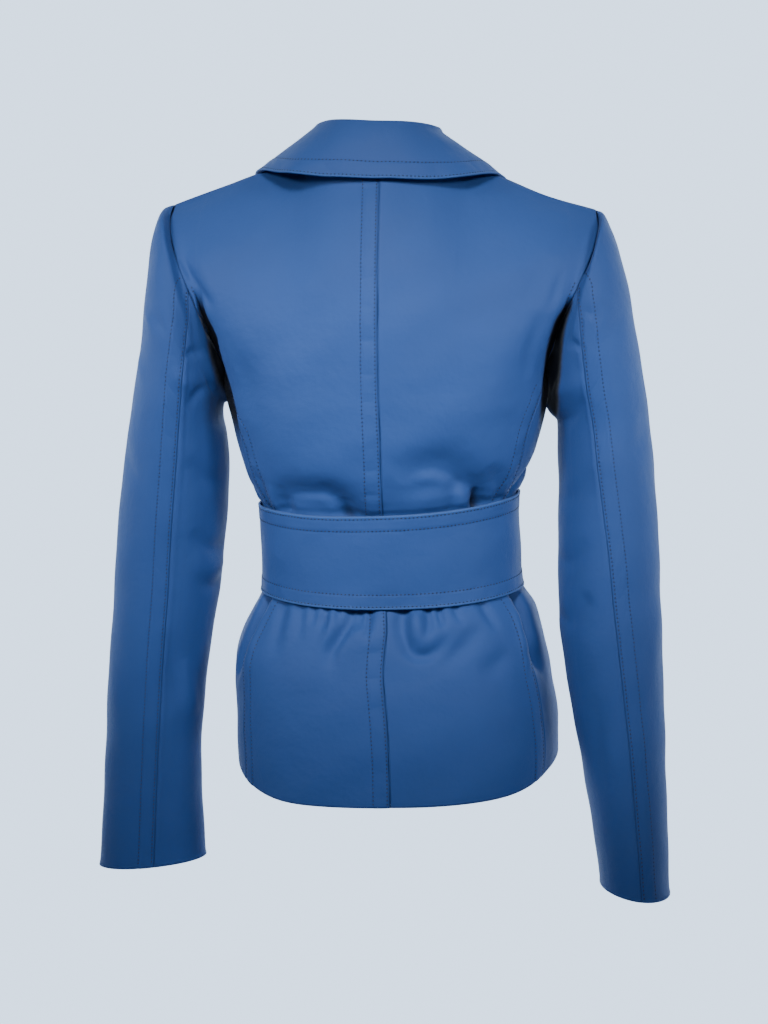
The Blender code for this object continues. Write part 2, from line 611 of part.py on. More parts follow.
def lapel_grid(side, rows, front):
    """A lapel laid on the front: points of the front's own face, moved out."""
    tree = surface_tree([front])
    lines = through(rows, np.linspace(0, 1, LAPEL_STEPS_UP + 1))
    roll_x = side * np.interp(lines[:, 0], front[:, 0, 2], front[:, 0, 0]) + LAPEL_INSET
    grid = np.zeros((LAPEL_STEPS_UP + 1, LAPEL_STEPS_OUT + 1, 3))
    for row, (roll_z, edge_x, edge_z) in enumerate(lines):
        for column, share in enumerate(np.linspace(0, 1, LAPEL_STEPS_OUT + 1)):
            x = side * (roll_x[row] + share * (edge_x - roll_x[row]))
            z = roll_z + share * (edge_z - roll_z)
            hit, normal, _, _ = tree.ray_cast(Vector((x, -1, z)), Vector((0, 1, 0)))
            if hit is None:
                hit, normal, _, _ = tree.find_nearest(Vector((x, FRONT_OF_CHEST, z)))
            normal = -normal if normal.y > 0 else normal
            lift = LAPEL_LIFT + CLOTH / 2 + LAPEL_PUFF * math.sin(math.pi * share)
            grid[row, column] = np.array(hit + normal * lift)
    return grid


def belt_grid():
    """The belt's inner face, from the end that lies under to the end that lies over it at the front."""
    last = 180 + BELT_HALF_LAP_ANGLE
    angles = np.linspace(last, -last, BELT_STEPS_ROUND + 1)
    over_lap = LAP_LIFT * step(np.abs(angles), *BELT_LAP_ANGLES)
    over_end = (BELT_CLOTH + LAYER_GAP) * step(-angles, *BELT_RISE_ANGLES)
    heights = np.linspace(BELT_BOTTOM, BELT_TOP, BELT_STEPS_UP + 1)[:, None]
    out = LAYER_GAP + over_lap + over_end
    return torso(1, angles[None], heights, out[None], folds=False)


def main():
    for obj in list(bpy.data.objects):
        bpy.data.objects.remove(obj)
    collection = bpy.data.collections.new("belted_blazer")
    bpy.context.scene.collection.children.link(collection)

    grids, centres = {}, {}
    for name, side, table in (("left", 1, LEFT_SLEEVE), ("right", -1, RIGHT_SLEEVE)):
        body = {"back": back_panel(side), "side": side_panel(side), "front": front_panel(side)}
        for piece, grid in body.items():
            grids[f"{piece}_{name}"] = grid
            centres[f"{piece}_{name}"] = np.stack(
                [0 * grid[..., 0], 0 * grid[..., 1], np.minimum(grid[..., 2], AXIS_TOP)], axis=-1
            )
        arm = sleeve(side, table, armhole_loop(*body.values()))
        middle = np.broadcast_to(arm[:, :-1].mean(axis=1, keepdims=True), arm.shape)
        under = slice(ELBOW_SEAM_STEP, YOKE_STEPS + SIDE_STEPS + FRONT_SEAM_STEP_FROM_SIDE + 1)
        order = np.r_[under.stop - 1 : arm.shape[1] - 1, 0 : ELBOW_SEAM_STEP + 1]
        grids[f"under_sleeve_{name}"], centres[f"under_sleeve_{name}"] = arm[:, under], middle[:, under]
        grids[f"upper_sleeve_{name}"], centres[f"upper_sleeve_{name}"] = arm[:, order], middle[:, order]

    normals = outward_normals(grids, centres)
    for name, grid in grids.items():
        face = trimmed(grid, ARMHOLE_GAP if "sleeve" in name else SEAM_GAP / 2)
        wall(name, face, face - CLOTH * normals[name], collection)

    body_tree = surface_tree([grid for name, grid in grids.items() if "sleeve" not in name])
    collar = collar_grid(body_tree)
    fold = unit(grid_normals(collar))
    if fold[COLLAR_STEPS, 3][2] < 0:
        fold = -fold
    wall("collar", collar, collar - COLLAR_CLOTH * fold, collection)

    for name, side, rows in (("left", 1, LEFT_LAPEL), ("right", -1, RIGHT_LAPEL)):
        lapel = lapel_grid(side, rows, grids[f"front_{name}"])
        normal = unit(grid_normals(lapel))
        normal *= np.where(normal[..., 1:2] > 0, -1, 1)
        wall(f"lapel_{name}", lapel + CLOTH / 2 * normal, lapel - CLOTH / 2 * normal, collection)

    inner = belt_grid()
    normal = unit(grid_normals(inner))
    if np.sum(normal * inner * (1, 1, 0)) < 0:
        normal = -normal
    wall("belt", inner + BELT_CLOTH * normal, inner, collection)


main()
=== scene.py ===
"""Looks of the belted blazer: fine cloth shells on the solids' form, with folds, seams and topstitching."""

import math
from collections import namedtuple

import bmesh
import bpy
import numpy as np
from mathutils import Matrix, Vector
from mathutils.bvhtree import BVHTree
from mathutils.kdtree import KDTree


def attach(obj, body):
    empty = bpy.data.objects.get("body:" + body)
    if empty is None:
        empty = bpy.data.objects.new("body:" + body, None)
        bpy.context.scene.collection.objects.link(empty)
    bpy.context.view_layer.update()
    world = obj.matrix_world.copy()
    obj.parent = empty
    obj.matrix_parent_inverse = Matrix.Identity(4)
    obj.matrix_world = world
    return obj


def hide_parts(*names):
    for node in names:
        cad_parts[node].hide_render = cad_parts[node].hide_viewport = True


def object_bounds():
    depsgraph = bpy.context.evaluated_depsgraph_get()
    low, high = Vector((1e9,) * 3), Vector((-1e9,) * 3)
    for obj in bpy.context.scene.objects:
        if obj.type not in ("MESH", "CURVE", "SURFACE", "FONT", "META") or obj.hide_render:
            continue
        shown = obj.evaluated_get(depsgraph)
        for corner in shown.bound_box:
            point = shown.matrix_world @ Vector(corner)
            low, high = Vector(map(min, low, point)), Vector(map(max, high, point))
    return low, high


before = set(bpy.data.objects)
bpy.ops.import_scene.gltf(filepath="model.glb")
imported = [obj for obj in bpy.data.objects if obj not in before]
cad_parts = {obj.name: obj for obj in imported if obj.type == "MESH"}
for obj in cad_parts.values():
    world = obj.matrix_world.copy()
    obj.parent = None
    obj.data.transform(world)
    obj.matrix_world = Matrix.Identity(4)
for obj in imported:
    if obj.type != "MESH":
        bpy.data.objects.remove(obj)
CAD_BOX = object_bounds()

bl_info = {
    "name": "Belted Blazer Looks",
    "version": (1, 0, 0),
    "blender": (4, 5, 0),
    "location": "3D View > Sidebar > Blazer",
    "description": "Builds the cloth, seams and stitching of a belted blazer on its packed solids",
    "category": "Add Mesh",
}

BODY = "root"

# Torso, as the solids have it
HEM_HEIGHT = -0.560
BELT_BOTTOM = -0.388
BELT_TOP = -0.306
ARMHOLE_BACK_HEIGHT = -0.185
UNDERARM_DROP = 0.030
SIDE_TUCK_TOP = -0.290
SIDE_HEM_RISE = 0.021
SIDE_HEM_FADE = 0.120
SIDE_HEM_POWER = 6
ROUNDNESS = 2.3
BACK_SEAM_ANGLE = 64.0
BACK_SEAM_WRAP = 7.0
BACK_SEAM_WRAP_HEIGHTS = (-0.245, -0.190)
FRONT_SEAM_ANGLE = 116.0
MEAN_RADIUS = 0.115
NECK_POINT = (0.068, 0.004, 0.003)
SHOULDER_POINT = (0.1886, 0.000, -0.0415)
CENTRE_BACK_NECK = (0.000, 0.058, -0.012)
SHOULDER_SLOPE = 0.014
SHOULDER_SLOPE_HEIGHTS = (-0.180, -0.080)
RIGHT_SHOULDER_SAG = 0.004
LAP_HALF = 0.030
LAP_LIFT = 0.0024
LAP_ANGLES = (142.0, 158.0)
LAP_FADE = (-0.200, -0.150)
BREAK_HEIGHT = -0.293
BELT_HALF_LAP_ANGLE = 26.0
BELT_RISE_ANGLES = (112.0, 146.0)
BELT_OVER_LAP_ANGLES = (130.0, 146.0)
BELT_CLOTH = 0.0026
LAYER_GAP = 0.0004
BELT_DRAW = 0.0025
BELT_UNDER = 0.009
BELT_STRAIGHT = 0.7
BELT_SAG, BELT_SAG_MEAN = 0.0060, 0.35
BELT_SAG_BELOW, BELT_SAG_ABOVE = (-0.470, -0.395), (-0.300, -0.230)

# Steps of the solids' own grids
NECK_STEPS, SHOULDER_STEPS, SIDE_STEPS = 4, 9, 6
SKIRT_STEPS, WAIST_STEPS, BLOUSE_STEPS, YOKE_STEPS = 9, 3, 8, 8
SLEEVE_STEPS = 15
COLLAR_STEPS = 14
RIDGE_STEP = 10
YOKE_EASING = 6
SIDES = (("left", 1), ("right", -1))
# Columns of a form's points after x, y and z
ANGLE, HEIGHT = 3, 4

# Fine grids: parts of each step along a piece, and across it how many steps lie close beside each edge,
# their parts and the parts between. The collar's columns are steps, and parts of each of them
BODY_ROW_PARTS = (8, 6, 9, 9)
BACK_COLUMNS, SIDE_COLUMNS, FRONT_COLUMNS = (1.45, 14, 40), (0.5, 8, 30), (0.8, 12, 42)
SLEEVE_CAP_STEPS, SLEEVE_ROW_PARTS, SLEEVE_COLUMNS = 2, (12, 18), (0.8, 12, 40)
LAPEL_ROWS, LAPEL_COLUMNS = 111, 46
COLLAR_ROW_PARTS, COLLAR_COLUMNS, COLLAR_ROLL_COLUMN = 8, ((5, 2, 1), (5, 8, 13)), 15
COLLAR_PANEL_THINNING = 3
BELT_COLUMNS, BELT_EDGE, BELT_EDGE_ROWS, BELT_MIDDLE_ROWS = 331, 0.016, 14, 18

# Places inside the garment that tell the way out of it: top of its upright axis, middle of the chest
AXIS_TOP = -0.12
CHEST_MIDDLE = Vector((0, 0, -0.15))

# Rings round the body: height, lean to the wearer's left, half width, depth to the back and to the front,
# slope across
RINGS = (
    (-0.560, -0.0135, 0.1475, 0.1215, 0.1210, -0.034),
    (-0.520, -0.0127, 0.1480, 0.1195, 0.1190, -0.030),
    (-0.480, -0.0100, 0.1460, 0.1150, 0.1150, -0.026),
    (-0.440, -0.0066, 0.1408, 0.1070, 0.1075, -0.024),
    (-0.410, -0.0090, 0.1308, 0.0990, 0.1000, -0.023),
    (-0.397, -0.0088, 0.1242, 0.0950, 0.0962, -0.024),
    (-0.388, -0.0078, 0.1195, 0.0900, 0.0915, -0.024),
    (-0.347, -0.0062, 0.1175, 0.0875, 0.0895, -0.036),
    (-0.306, -0.0048, 0.1180, 0.0890, 0.0915, -0.049),
    (-0.285, -0.0046, 0.1262, 0.0985, 0.1010, -0.042),
    (-0.255, -0.0044, 0.1350, 0.1045, 0.1130, -0.028),
    (-0.220, -0.0030, 0.1440, 0.1065, 0.1210, -0.010),
    (-0.185, -0.0020, 0.1500, 0.1070, 0.1215, 0.000),
)
CENTRE_BACK = (
    (0.1070, -0.185),
    (0.1055, -0.145),
    (0.0990, -0.105),
    (0.0870, -0.065),
    (0.0730, -0.037),
    (0.0580, -0.012),
)
BACK_ARMHOLE = (
    (0.1520, 0.0440, -0.160),
    (0.1580, 0.0480, -0.142),
    (0.1690, 0.0525, -0.116),
    (0.1785, 0.0470, -0.094),
    (0.1868, 0.0315, -0.072),
    (0.1905, 0.0130, -0.053),
)
LEFT_BACK_RIDGE = (
    (0.1440, 0.0640, -0.158),
    (0.1530, 0.0660, -0.130),
    (0.1600, 0.0590, -0.100),
    (0.1605, 0.0420, -0.068),
    (0.1560, 0.0190, -0.042),
)
RIGHT_BACK_RIDGE = (
    (0.1465, 0.0630, -0.158),
    (0.1545, 0.0655, -0.130),
    (0.1615, 0.0590, -0.100),
    (0.1610, 0.0420, -0.068),
    (0.1560, 0.0190, -0.042),
)
FRONT_ARMHOLE = (
    (0.1475, -0.0660, -0.150),
    (0.1585, -0.0580, -0.112),
    (0.1725, -0.0400, -0.080),
    (0.1840, -0.0180, -0.055),
)
# Dark gaps between the back and the sleeves: height, middle and half width across, depth
LEFT_GAP = (
    (-0.262, 0.1290, 0.0060, 0.0000),
    (-0.229, 0.1335, 0.0081, 0.0080),
    (-0.2135, 0.1369, 0.0078, 0.0120),
    (-0.187, 0.1424, 0.0072, 0.0150),
    (-0.167, 0.1470, 0.0062, 0.0150),
    (-0.1526, 0.1495, 0.0052, 0.0140),
    (-0.1394, 0.1547, 0.0046, 0.0110),
    (-0.1262, 0.1581, 0.0034, 0.0060),
    (-0.1122, 0.1615, 0.0030, 0.0000),
)
RIGHT_GAP = (
    (-0.262, -0.1455, 0.0060, 0.0000),
    (-0.231, -0.1487, 0.0081, 0.0080),
    (-0.2117, -0.1493, 0.0081, 0.0120),
    (-0.1863, -0.1512, 0.0077, 0.0150),
    (-0.1671, -0.1523, 0.0072, 0.0150),
    (-0.1505, -0.1547, 0.0063, 0.0140),
    (-0.1392, -0.1580, 0.0059, 0.0110),
    (-0.127, -0.1639, 0.0041, 0.0070),
    (-0.1184, -0.1664, 0.0030, 0.0000),
)
GAP_WALL = (0.70, 1.10)
GAP_REACH = (-0.005, 0.035)
GAP_SHADE = (0.001, 0.009)
FOLD_SHADE, FOLD_SHADE_DEPTHS = 0.9, (0.009, 0.0145)
ROLL_LINE = (
    (0.0180, -0.1150, -0.150),
    (0.0295, -0.1010, -0.115),
    (0.0420, -0.0770, -0.075),
    (0.0535, -0.0460, -0.040),
)

SleeveSection = namedtuple("SleeveSection", "outer_x outer_z inner_x inner_z mid_y half_depth elbow")
LEFT_SLEEVE = (
    (0.1985, -0.0430, 0.1462, -0.2175, 0.001, 0.0590, 100.0),
    (0.2058, -0.0600, 0.1475, -0.2215, 0.001, 0.0640, 104.0),
    (0.2135, -0.1000, 0.1485, -0.2275, 0.001, 0.0680, 105.5),
    (0.2195, -0.1600, 0.1480, -0.2350, 0.000, 0.0660, 104.5),
    (0.2310, -0.2240, 0.1440, -0.2500, -0.001, 0.0620, 102.0),
    (0.2395, -0.2800, 0.1428, -0.2880, -0.002, 0.0580, 100.0),
    (0.2465, -0.3300, 0.1462, -0.3350, -0.003, 0.0540, 99.5),
    (0.2500, -0.3850, 0.1522, -0.3858, -0.003, 0.0500, 100.5),
    (0.2552, -0.4450, 0.1620, -0.4450, -0.002, 0.0455, 103.0),
    (0.2600, -0.5050, 0.1688, -0.5050, -0.001, 0.0405, 104.5),
    (0.2632, -0.5700, 0.1716, -0.5650, 0.000, 0.0355, 102.5),
    (0.2690, -0.6545, 0.1680, -0.6435, 0.001, 0.0310, 97.0),
)
RIGHT_SLEEVE = (
    (0.1955, -0.0475, 0.1462, -0.2175, 0.001, 0.0590, 90.0),
    (0.2035, -0.0640, 0.1480, -0.2215, 0.001, 0.0640, 95.0),
    (0.2155, -0.1000, 0.1510, -0.2260, 0.001, 0.0680, 100.5),
    (0.2275, -0.1610, 0.1545, -0.2290, 0.001, 0.0660, 104.5),
    (0.2385, -0.2240, 0.1568, -0.2360, 0.003, 0.0640, 105.0),
    (0.2440, -0.2760, 0.1578, -0.2810, 0.011, 0.0620, 101.0),
    (0.2478, -0.3250, 0.1582, -0.3290, 0.021, 0.0590, 94.0),
    (0.2498, -0.3800, 0.1587, -0.3820, 0.032, 0.0560, 88.0),
    (0.2522, -0.4350, 0.1632, -0.4330, 0.043, 0.0525, 84.0),
    (0.2548, -0.4950, 0.1738, -0.4930, 0.054, 0.0490, 82.5),
    (0.2568, -0.5600, 0.1858, -0.5560, 0.066, 0.0465, 81.5),
    (0.2600, -0.6430, 0.1985, -0.6350, 0.079, 0.0450, 82.0),
)
SIDE_PANEL_ANGLES = (138.0, 222.0)
FRONT_PITCH_ANGLE = 278.0
ELBOW_SEAM_STEP = 4
# How many steps lower round the sleeve the elbow seam starts, by row from the armhole
ELBOW_DROP_ROWS = (0.0, 0.5, 1.0, 1.5, 2.0, 3.0, 4.5)
LEFT_ELBOW_DROP = (0.54, 0.20, -0.08, -0.11, -0.04, 0.02, 0.0)
RIGHT_ELBOW_DROP = (0.22, 0.0, -0.20, -0.21, -0.15, -0.05, 0.02)
FRONT_SEAM_STEP_FROM_SIDE = 2
SLEEVE_RADIUS = 0.050

# Sections of the collar from the centre back: neck seam, roll, outer edge
COLLAR = (
    ((0.0000, 0.0570, -0.0105), (0.0000, 0.0450, 0.0290), (0.0000, 0.0700, -0.0160)),
    ((0.0330, 0.0495, -0.0070), (0.0290, 0.0395, 0.0295), (0.0400, 0.0670, -0.0150)),
    ((0.0580, 0.0270, 0.0005), (0.0490, 0.0215, 0.0275), (0.0790, 0.0480, -0.0120)),
    ((0.0672, 0.0040, 0.0045), (0.0560, 0.0010, 0.0225), (0.1070, 0.0060, -0.0085)),
    ((0.0630, -0.0170, -0.0105), (0.0570, -0.0200, 0.0020), (0.1160, -0.0330, -0.0190)),
    ((0.0530, -0.0480, -0.0395), (0.0530, -0.0510, -0.0365), (0.1170, -0.0610, -0.0440)),
)
COLLAR_ROLL_RADIUS = 0.0034
COLLAR_ROLL_SHARE, COLLAR_ROLL_LEAST = 0.6, 0.001
COLLAR_FALL_BULGE = 0.0015
COLLAR_FALL_SHARES = (0.28, 0.52, 0.76)
COLLAR_FALL = slice(5, None)
COLLAR_LAYERS = 1.5
COLLAR_CLEARANCE = 0.0032
COLLAR_REST, COLLAR_REST_ENDS = (0.05, 0.16, 0.30, 0.45), (0.045, 0.080)
COLLAR_TILT, COLLAR_TILT_TOP, COLLAR_TILT_BACK = 0.036, 0.045, 0.9
COLLAR_SEAT, COLLAR_SEAT_DROP, COLLAR_SEAT_SHARES = 0.0016, 0.0025, (1.0, 0.5, 0.1)
COLLAR_SHIFT, COLLAR_SHIFT_POWER = 0.0055, 4
COLLAR_SHIFT_SHARES = (0.0, 0.3, 0.6, 0.8, 1.0, 1.0, 1.0, 1.0, 1.0)

# Lines across the lapels from their break: height at the roll, place across and height of the outer edge
RIGHT_LAPEL = (
    (-0.2890, -0.0200, -0.2885),
    (-0.2440, 0.0240, -0.2480),
    (-0.2000, 0.0600, -0.2080),
    (-0.1530, 0.0900, -0.1620),
    (-0.1140, 0.1090, -0.1230),
    (-0.0760, 0.1190, -0.0990),
    (-0.0470, 0.1230, -0.0840),
)
LEFT_LAPEL = (
    (-0.1930, 0.0260, -0.2450),
    (-0.1780, 0.0480, -0.2220),
    (-0.1530, 0.0780, -0.1800),
    (-0.1140, 0.1060, -0.1290),
    (-0.0760, 0.1190, -0.0990),
    (-0.0470, 0.1230, -0.0840),
)
LAPEL_INSET = 0.0006
LAPEL_LIFT = 0.0028
LAPEL_PUFF = 0.0030
LAPEL_RAY_START, CHEST_FRONT = -1.0, -0.15

# What is left of a fold at the two ends of its line
FROM_BELT, TO_BELT, WHOLE, INSIDE = (1.0, 0.1), (0.0, 1.0), (1.0, 1.0), (0.0, 0.0)
FOLD_BELT_FADE = 0.006
FOLD_POINTS = 13
FOLD_FADE_POWER = 3
FOLD_LEAN_RATE = 6
Fold = namedtuple("Fold", "line half_width out lean ends")


def folds(ends, *rows, lean=0.0):
    """Folds from rows in millimetres: half width, how far the cloth stands out, or in below zero, and the
    places on the fold's line by angle and height. A lean above zero makes the upper side steeper."""
    for half_width, out, *line in rows:
        places = [(turn, height / 1000) for turn, height in line]
        yield Fold(places, half_width / 1000, out / 1000, lean, ends)


# Folds of the torso, by angle from the centre back towards the wearer's left
TORSO_FOLDS = (
    # Blouse above the belt, wearer's left
    *folds(
        (0.6, 1.0),
        (11.2, -8.8, (47, -304), (43, -293.5), (36, -288.5), (27.5, -287), (20, -288),
         (15, -294), (10.5, -311)),
        lean=-0.3,
    ),
    *folds((0.5, 0.5), (8.5, -5.2, (44, -301.5), (28, -299), (15, -303.5))),
    *folds(
        TO_BELT,
        (4.2, 2, (51.5, -280), (52.3, -292), (53.5, -306)),
        (6, -2.8, (58, -266), (59, -284), (61, -306)),
    ),
    # Blouse above the belt, wearer's right
    *folds(
        (0.1, 1.0),
        (13, -10.5, (-4, -274), (-10, -267.5), (-17, -266), (-23, -270.5), (-30, -281),
         (-38, -292.5), (-44, -308)),
        lean=-0.36,
    ),
    *folds((0.2, 0.5), (9, -4.8, (-6, -288), (-17, -283), (-27, -290))),
    *folds((0.0, 0.8), (6, -2.2, (-25, -280), (-26.3, -290), (-26.8, -308))),
    *folds(
        TO_BELT,
        (5.5, 1.8, (-29, -287), (-33.5, -295), (-37.5, -308)),
        (3, -3, (-39.4, -293), (-41.5, -300), (-43, -309)),
        (7.5, -3.6, (-43, -266), (-49.5, -282.5), (-57, -304)),
    ),
    # Gathers under the belt, wearer's left
    *folds(
        FROM_BELT,
        (5.2, -7, (11.5, -384), (12.5, -398), (14.9, -409.5), (16.9, -421.4), (16.5, -440)),
        (6.5, 3.1, (21, -390), (19.5, -405), (20, -424)),
        (3.6, -5.6, (22.5, -384), (22.8, -396), (23.5, -406)),
        (3, -3.6, (17.7, -384), (17.5, -392), (17.2, -399)),
        (3.2, -6.2, (8.1, -384), (8.3, -394), (9, -406)),
        (3, -5.6, (4.8, -384), (5, -396), (6, -412)),
        (6, -2.8, (38, -384), (35, -402), (33, -420)),
        (3.6, -3.1, (30, -384), (29, -395), (29, -404)),
        (8, -3.4, (50, -384), (46, -408), (43, -434)),
    ),
    # Gathers under the belt, wearer's right
    *folds(
        FROM_BELT,
        (5.2, -6.4, (-6, -384), (-4.4, -402.5), (-5.6, -416.7), (-8.1, -426.2), (-12.5, -428.6),
         (-17.3, -421.4), (-21.7, -409.5)),
        (4.8, 3.6, (-9.8, -388), (-9.2, -403), (-10.5, -418)),
        (3.6, -5.9, (-15.2, -384), (-13.9, -402.5), (-11.9, -412)),
        (3.2, -5.6, (-19.7, -384), (-19.5, -394), (-19.3, -405)),
    ),
    *folds((0.3, 0.1), (8.5, -3.9, (-35.4, -407.1), (-25, -426.2), (-16.9, -440.6))),
    *folds(
        FROM_BELT,
        (3.6, -3.4, (-27, -384), (-27, -394), (-28, -403)),
        (5.5, -3.1, (-41, -384), (-42, -398), (-45, -414)),
    ),
    *folds(INSIDE, (10, -3.6, (-50.7, -428.6), (-41.9, -440.6), (-32.2, -445.3))),
    # Deep folds at the sides under the belt
    *folds((0.0, 0.2), (7.5, 3, (63, -394), (60.5, -420), (59.5, -455))),
    *folds(FROM_BELT, (7.8, -16, (69, -384), (67.5, -405), (69, -430), (76, -462))),
    *folds((0.0, 0.1), (16, 3.5, (97, -400), (95, -435), (95, -480))),
    *folds((0.0, 0.2), (7.5, 3, (-62, -394), (-59.5, -420), (-59, -455))),
    *folds(FROM_BELT, (8.4, -16, (-71, -384), (-68, -410), (-68, -432), (-73, -460))),
    *folds((0.0, 0.1), (14, 2, (-99, -400), (-98, -435), (-98, -480))),
    # Drag lines of the upper back beside the armholes
    *folds((0.0, 0.6), (5.5, -2.8, (69, -80), (65.6, -96.7), (60.3, -110.8), (55, -123.5))),
    *folds(
        INSIDE,
        (9, 2.2, (61.6, -77.6), (54.5, -96.8), (50.9, -120.2)),
        (13, -2.2, (50, -148), (49, -180), (50, -225)),
        (5.5, -2.4, (-56.7, -93.7), (-55.4, -106.8), (-54, -122.9), (-53.6, -132.3)),
        (10, -2.4, (-50, -83.8), (-45.5, -105.7), (-44.2, -127.6)),
        (6.5, -2.8, (-50.9, -131.8), (-49.5, -150.5), (-50.8, -168.6), (-56, -190.6)),
        (17, 1.8, (-40, -140), (-39, -180), (-42, -225)),
    ),
    # Sides and fronts above the belt
    *folds(
        WHOLE,
        (7, -5, (72, -300), (86, -276), (100, -302)),
        (7, -5, (-70, -300), (-84, -274), (-98, -302)),
        (7.2, -5.8, (106, -302), (121, -272), (139, -303)),
        lean=0.3,
    ),
    *folds(INSIDE, (8.5, 3.6, (112, -298), (122, -293), (133, -299))),
    *folds(WHOLE, (7.4, -5.8, (-108, -302), (-124, -268), (-143, -303)), lean=0.3),
    *folds(INSIDE, (8.5, 3.6, (-114, -298), (-125, -292), (-136, -299))),
    *folds(
        WHOLE,
        (5.2, -3, (148, -302), (156, -286), (166, -303)),
        (5.2, -3, (-152, -302), (-160, -284), (-170, -303)),
        lean=0.3,
    ),
    # Fronts under the belt
    *folds(
        FROM_BELT,
        (9, -6.2, (122, -384), (125, -420), (127, -465)),
        (10, 3, (112, -384), (114, -420), (114, -458)),
        (9, -6.2, (-122, -384), (-126, -418), (-128, -460)),
        (10, 3, (-112, -384), (-114, -420), (-115, -455)),
        (6, -3.6, (142, -384), (145, -410), (150, -432)),
        (6, -3.6, (-140, -384), (-146, -412), (-149, -438)),
        (3.8, -2.4, (158, -384), (159, -401), (161, -412)),
        (3.8, -2.4, (-156, -384), (-158, -402), (-161, -414)),
        (3.6, -2.2, (171, -384), (171, -400), (170, -409)),
        (3.6, -2.2, (-170, -384), (-171, -401), (-172, -410)),
    ),
)

# Folds of the sleeves, by angle round the sleeve from its outer edge over the back
LEFT_SLEEVE_FOLDS = (
    *folds(
        INSIDE,
        (7, 1.6, (40, -79), (52, -89), (63, -101)),
        (5.5, 1.8, (30, -128), (48, -141), (62, -152)),
        (5.5, -2.2, (55, -133), (68, -143), (82, -152)),
        (7, 1.6, (23, -172), (36, -184), (50, -193)),
        (4.6, -3, (104, -172), (114, -168), (126, -167.7)),
        (5.2, -3.2, (112, -217), (126, -206), (144, -197)),
        (7, 2.2, (92, -182), (108, -194), (128, -196)),
        (9.5, -2, (18, -246), (38, -272), (66, -286)),
        (8, -2.8, (112, -262), (135, -282), (168, -290)),
        (7.5, -3.4, (120, -330), (145, -347), (185, -350)),
        (7, -3, (128, -372), (150, -384), (190, -378)),
        (8.5, 2.6, (124, -350), (146, -366), (186, -364)),
        (10.5, -3.4, (104, -420), (117, -455), (126, -500)),
        (8, 3.4, (126, -450), (139, -478), (155, -508)),
        (13, 2.2, (30, -440), (44, -480), (52, -540)),
        (9, -2, (110, -560), (122, -590), (138, -612)),
        (8, -3.2, (236, -320), (262, -344), (292, -348)),
        (8, -3, (232, -376), (258, -396), (286, -384)),
        (8, -2.6, (240, -180), (265, -196), (290, -180)),
        (10, -2, (300, -260), (318, -290), (340, -300)),
        (10, -2.4, (250, -470), (268, -505), (276, -550)),
        (8.5, -4.4, (286, -296), (308, -316), (340, -322)),
        (9.5, 3.2, (284, -330), (308, -342), (334, -338)),
        (8, -4, (292, -362), (312, -360), (338, -346)),
        (11, -3.6, (300, -430), (320, -462), (336, -505)),
    ),
)
RIGHT_SLEEVE_FOLDS = (
    *folds(
        INSIDE,
        (4.5, -2.2, (86, -130), (76, -133), (64, -128)),
        (8, -2.2, (90, -164), (62, -150), (38, -127)),
        (3.6, -2.4, (110, -155), (102, -158.6), (100, -166)),
        (4.6, -2.8, (118, -160), (132, -166), (146, -171)),
        (6, -3, (108, -204), (126, -221), (150, -232)),
        (7.2, 2.2, (104, -184), (122, -198), (146, -205)),
        (10, -2, (24, -215), (44, -244), (70, -256)),
        (8.5, -2.6, (108, -268), (134, -292), (170, -300)),
        (7.5, -3, (116, -330), (140, -350), (178, -352)),
    ),
    *folds(FROM_BELT, (7.5, -2.6, (120, -384), (144, -402), (184, -398))),
    *folds(
        INSIDE,
        (13, 2.4, (20, -380), (36, -420), (50, -470)),
        (11, -2.6, (112, -460), (124, -500), (128, -550)),
        (11, -1.6, (60, -520), (74, -555), (80, -600)),
        (8, -3.2, (232, -330), (258, -350), (288, -352)),
    ),
    *folds(FROM_BELT, (8, -2.8, (236, -384), (262, -410), (290, -402))),
    *folds(
        INSIDE,
        (8, -2.6, (242, -186), (266, -200), (292, -184)),
        (10, -2, (302, -250), (320, -284), (344, -296)),
        (8.5, -4.2, (284, -318), (306, -330), (338, -330)),
        (9.5, 3, (286, -346), (310, -356), (336, -350)),
        (8, -4.2, (290, -380), (314, -376), (340, -360)),
        (11, -3.4, (298, -450), (318, -486), (330, -530)),
    ),
)

# Seam relief, in metres
EDGE_SPACING, EDGE_REACH = 0.0004, 0.060
SEAM_DEPTH = 0.00045
SEAM_HALF_WIDTH = 0.00065
BAND_HEIGHT = 0.0003
BAND_STEP = 0.0011
BAND_TOP, BAND_END = -0.192, 0.012
ARMHOLE_ROW_HEIGHTS = (-0.136, -0.104)
ROW_DEPTH = 0.00028
ROW_HALF_WIDTH = 0.0011
PUCKER_HEIGHT = 0.00035
PUCKER_LENGTH = 0.0235
CREASE_DEPTH = 0.0006
CREASE_HALF_WIDTH = 0.0017
RIM_HEIGHT = 0.0005
RIM_WIDTH = 0.0022
PUCKER_DRIFT, PUCKER_DRIFT_RATE, PUCKER_START = 0.25, 37, 0.003
CREASE_MEAN, CREASE_SPREAD, CREASE_RATE = 0.55, 0.45, 5.3
# Puckers along each kind of stitched band: strength, and where they start
PUCKERS = {
    "centre back": (1.0, 0.4),
    "back": (0.7, 2.0),
    "front": (0.7, 4.0),
    "sleeve": (0.6, 1.0),
    "lapel": (0.4, 1.0),
    "collar": (0.5, 0.6),
    "lower belt": (0.5, 0.0),
    "upper belt": (0.5, 3.0),
}
# Slow waves of each kind of piece: height, and where they start
WAVES = {
    "back": (0.0005, 1.0),
    "side": (0.0005, 3.0),
    "front": (0.0005, 5.0),
    "sleeve": (0.0004, 7.0),
    "collar": (0.00035, 9.0),
    "belt": (0.00045, 2.0),
}
# Turns of the waves along x, y and z, in radians a metre
LONG_WAVE, CROSS_WAVE, SHORT_WAVE, SHORT_WAVE_SHARE = (61, 0, 23), (0, -31, 47), (71, -59, 113), 0.6

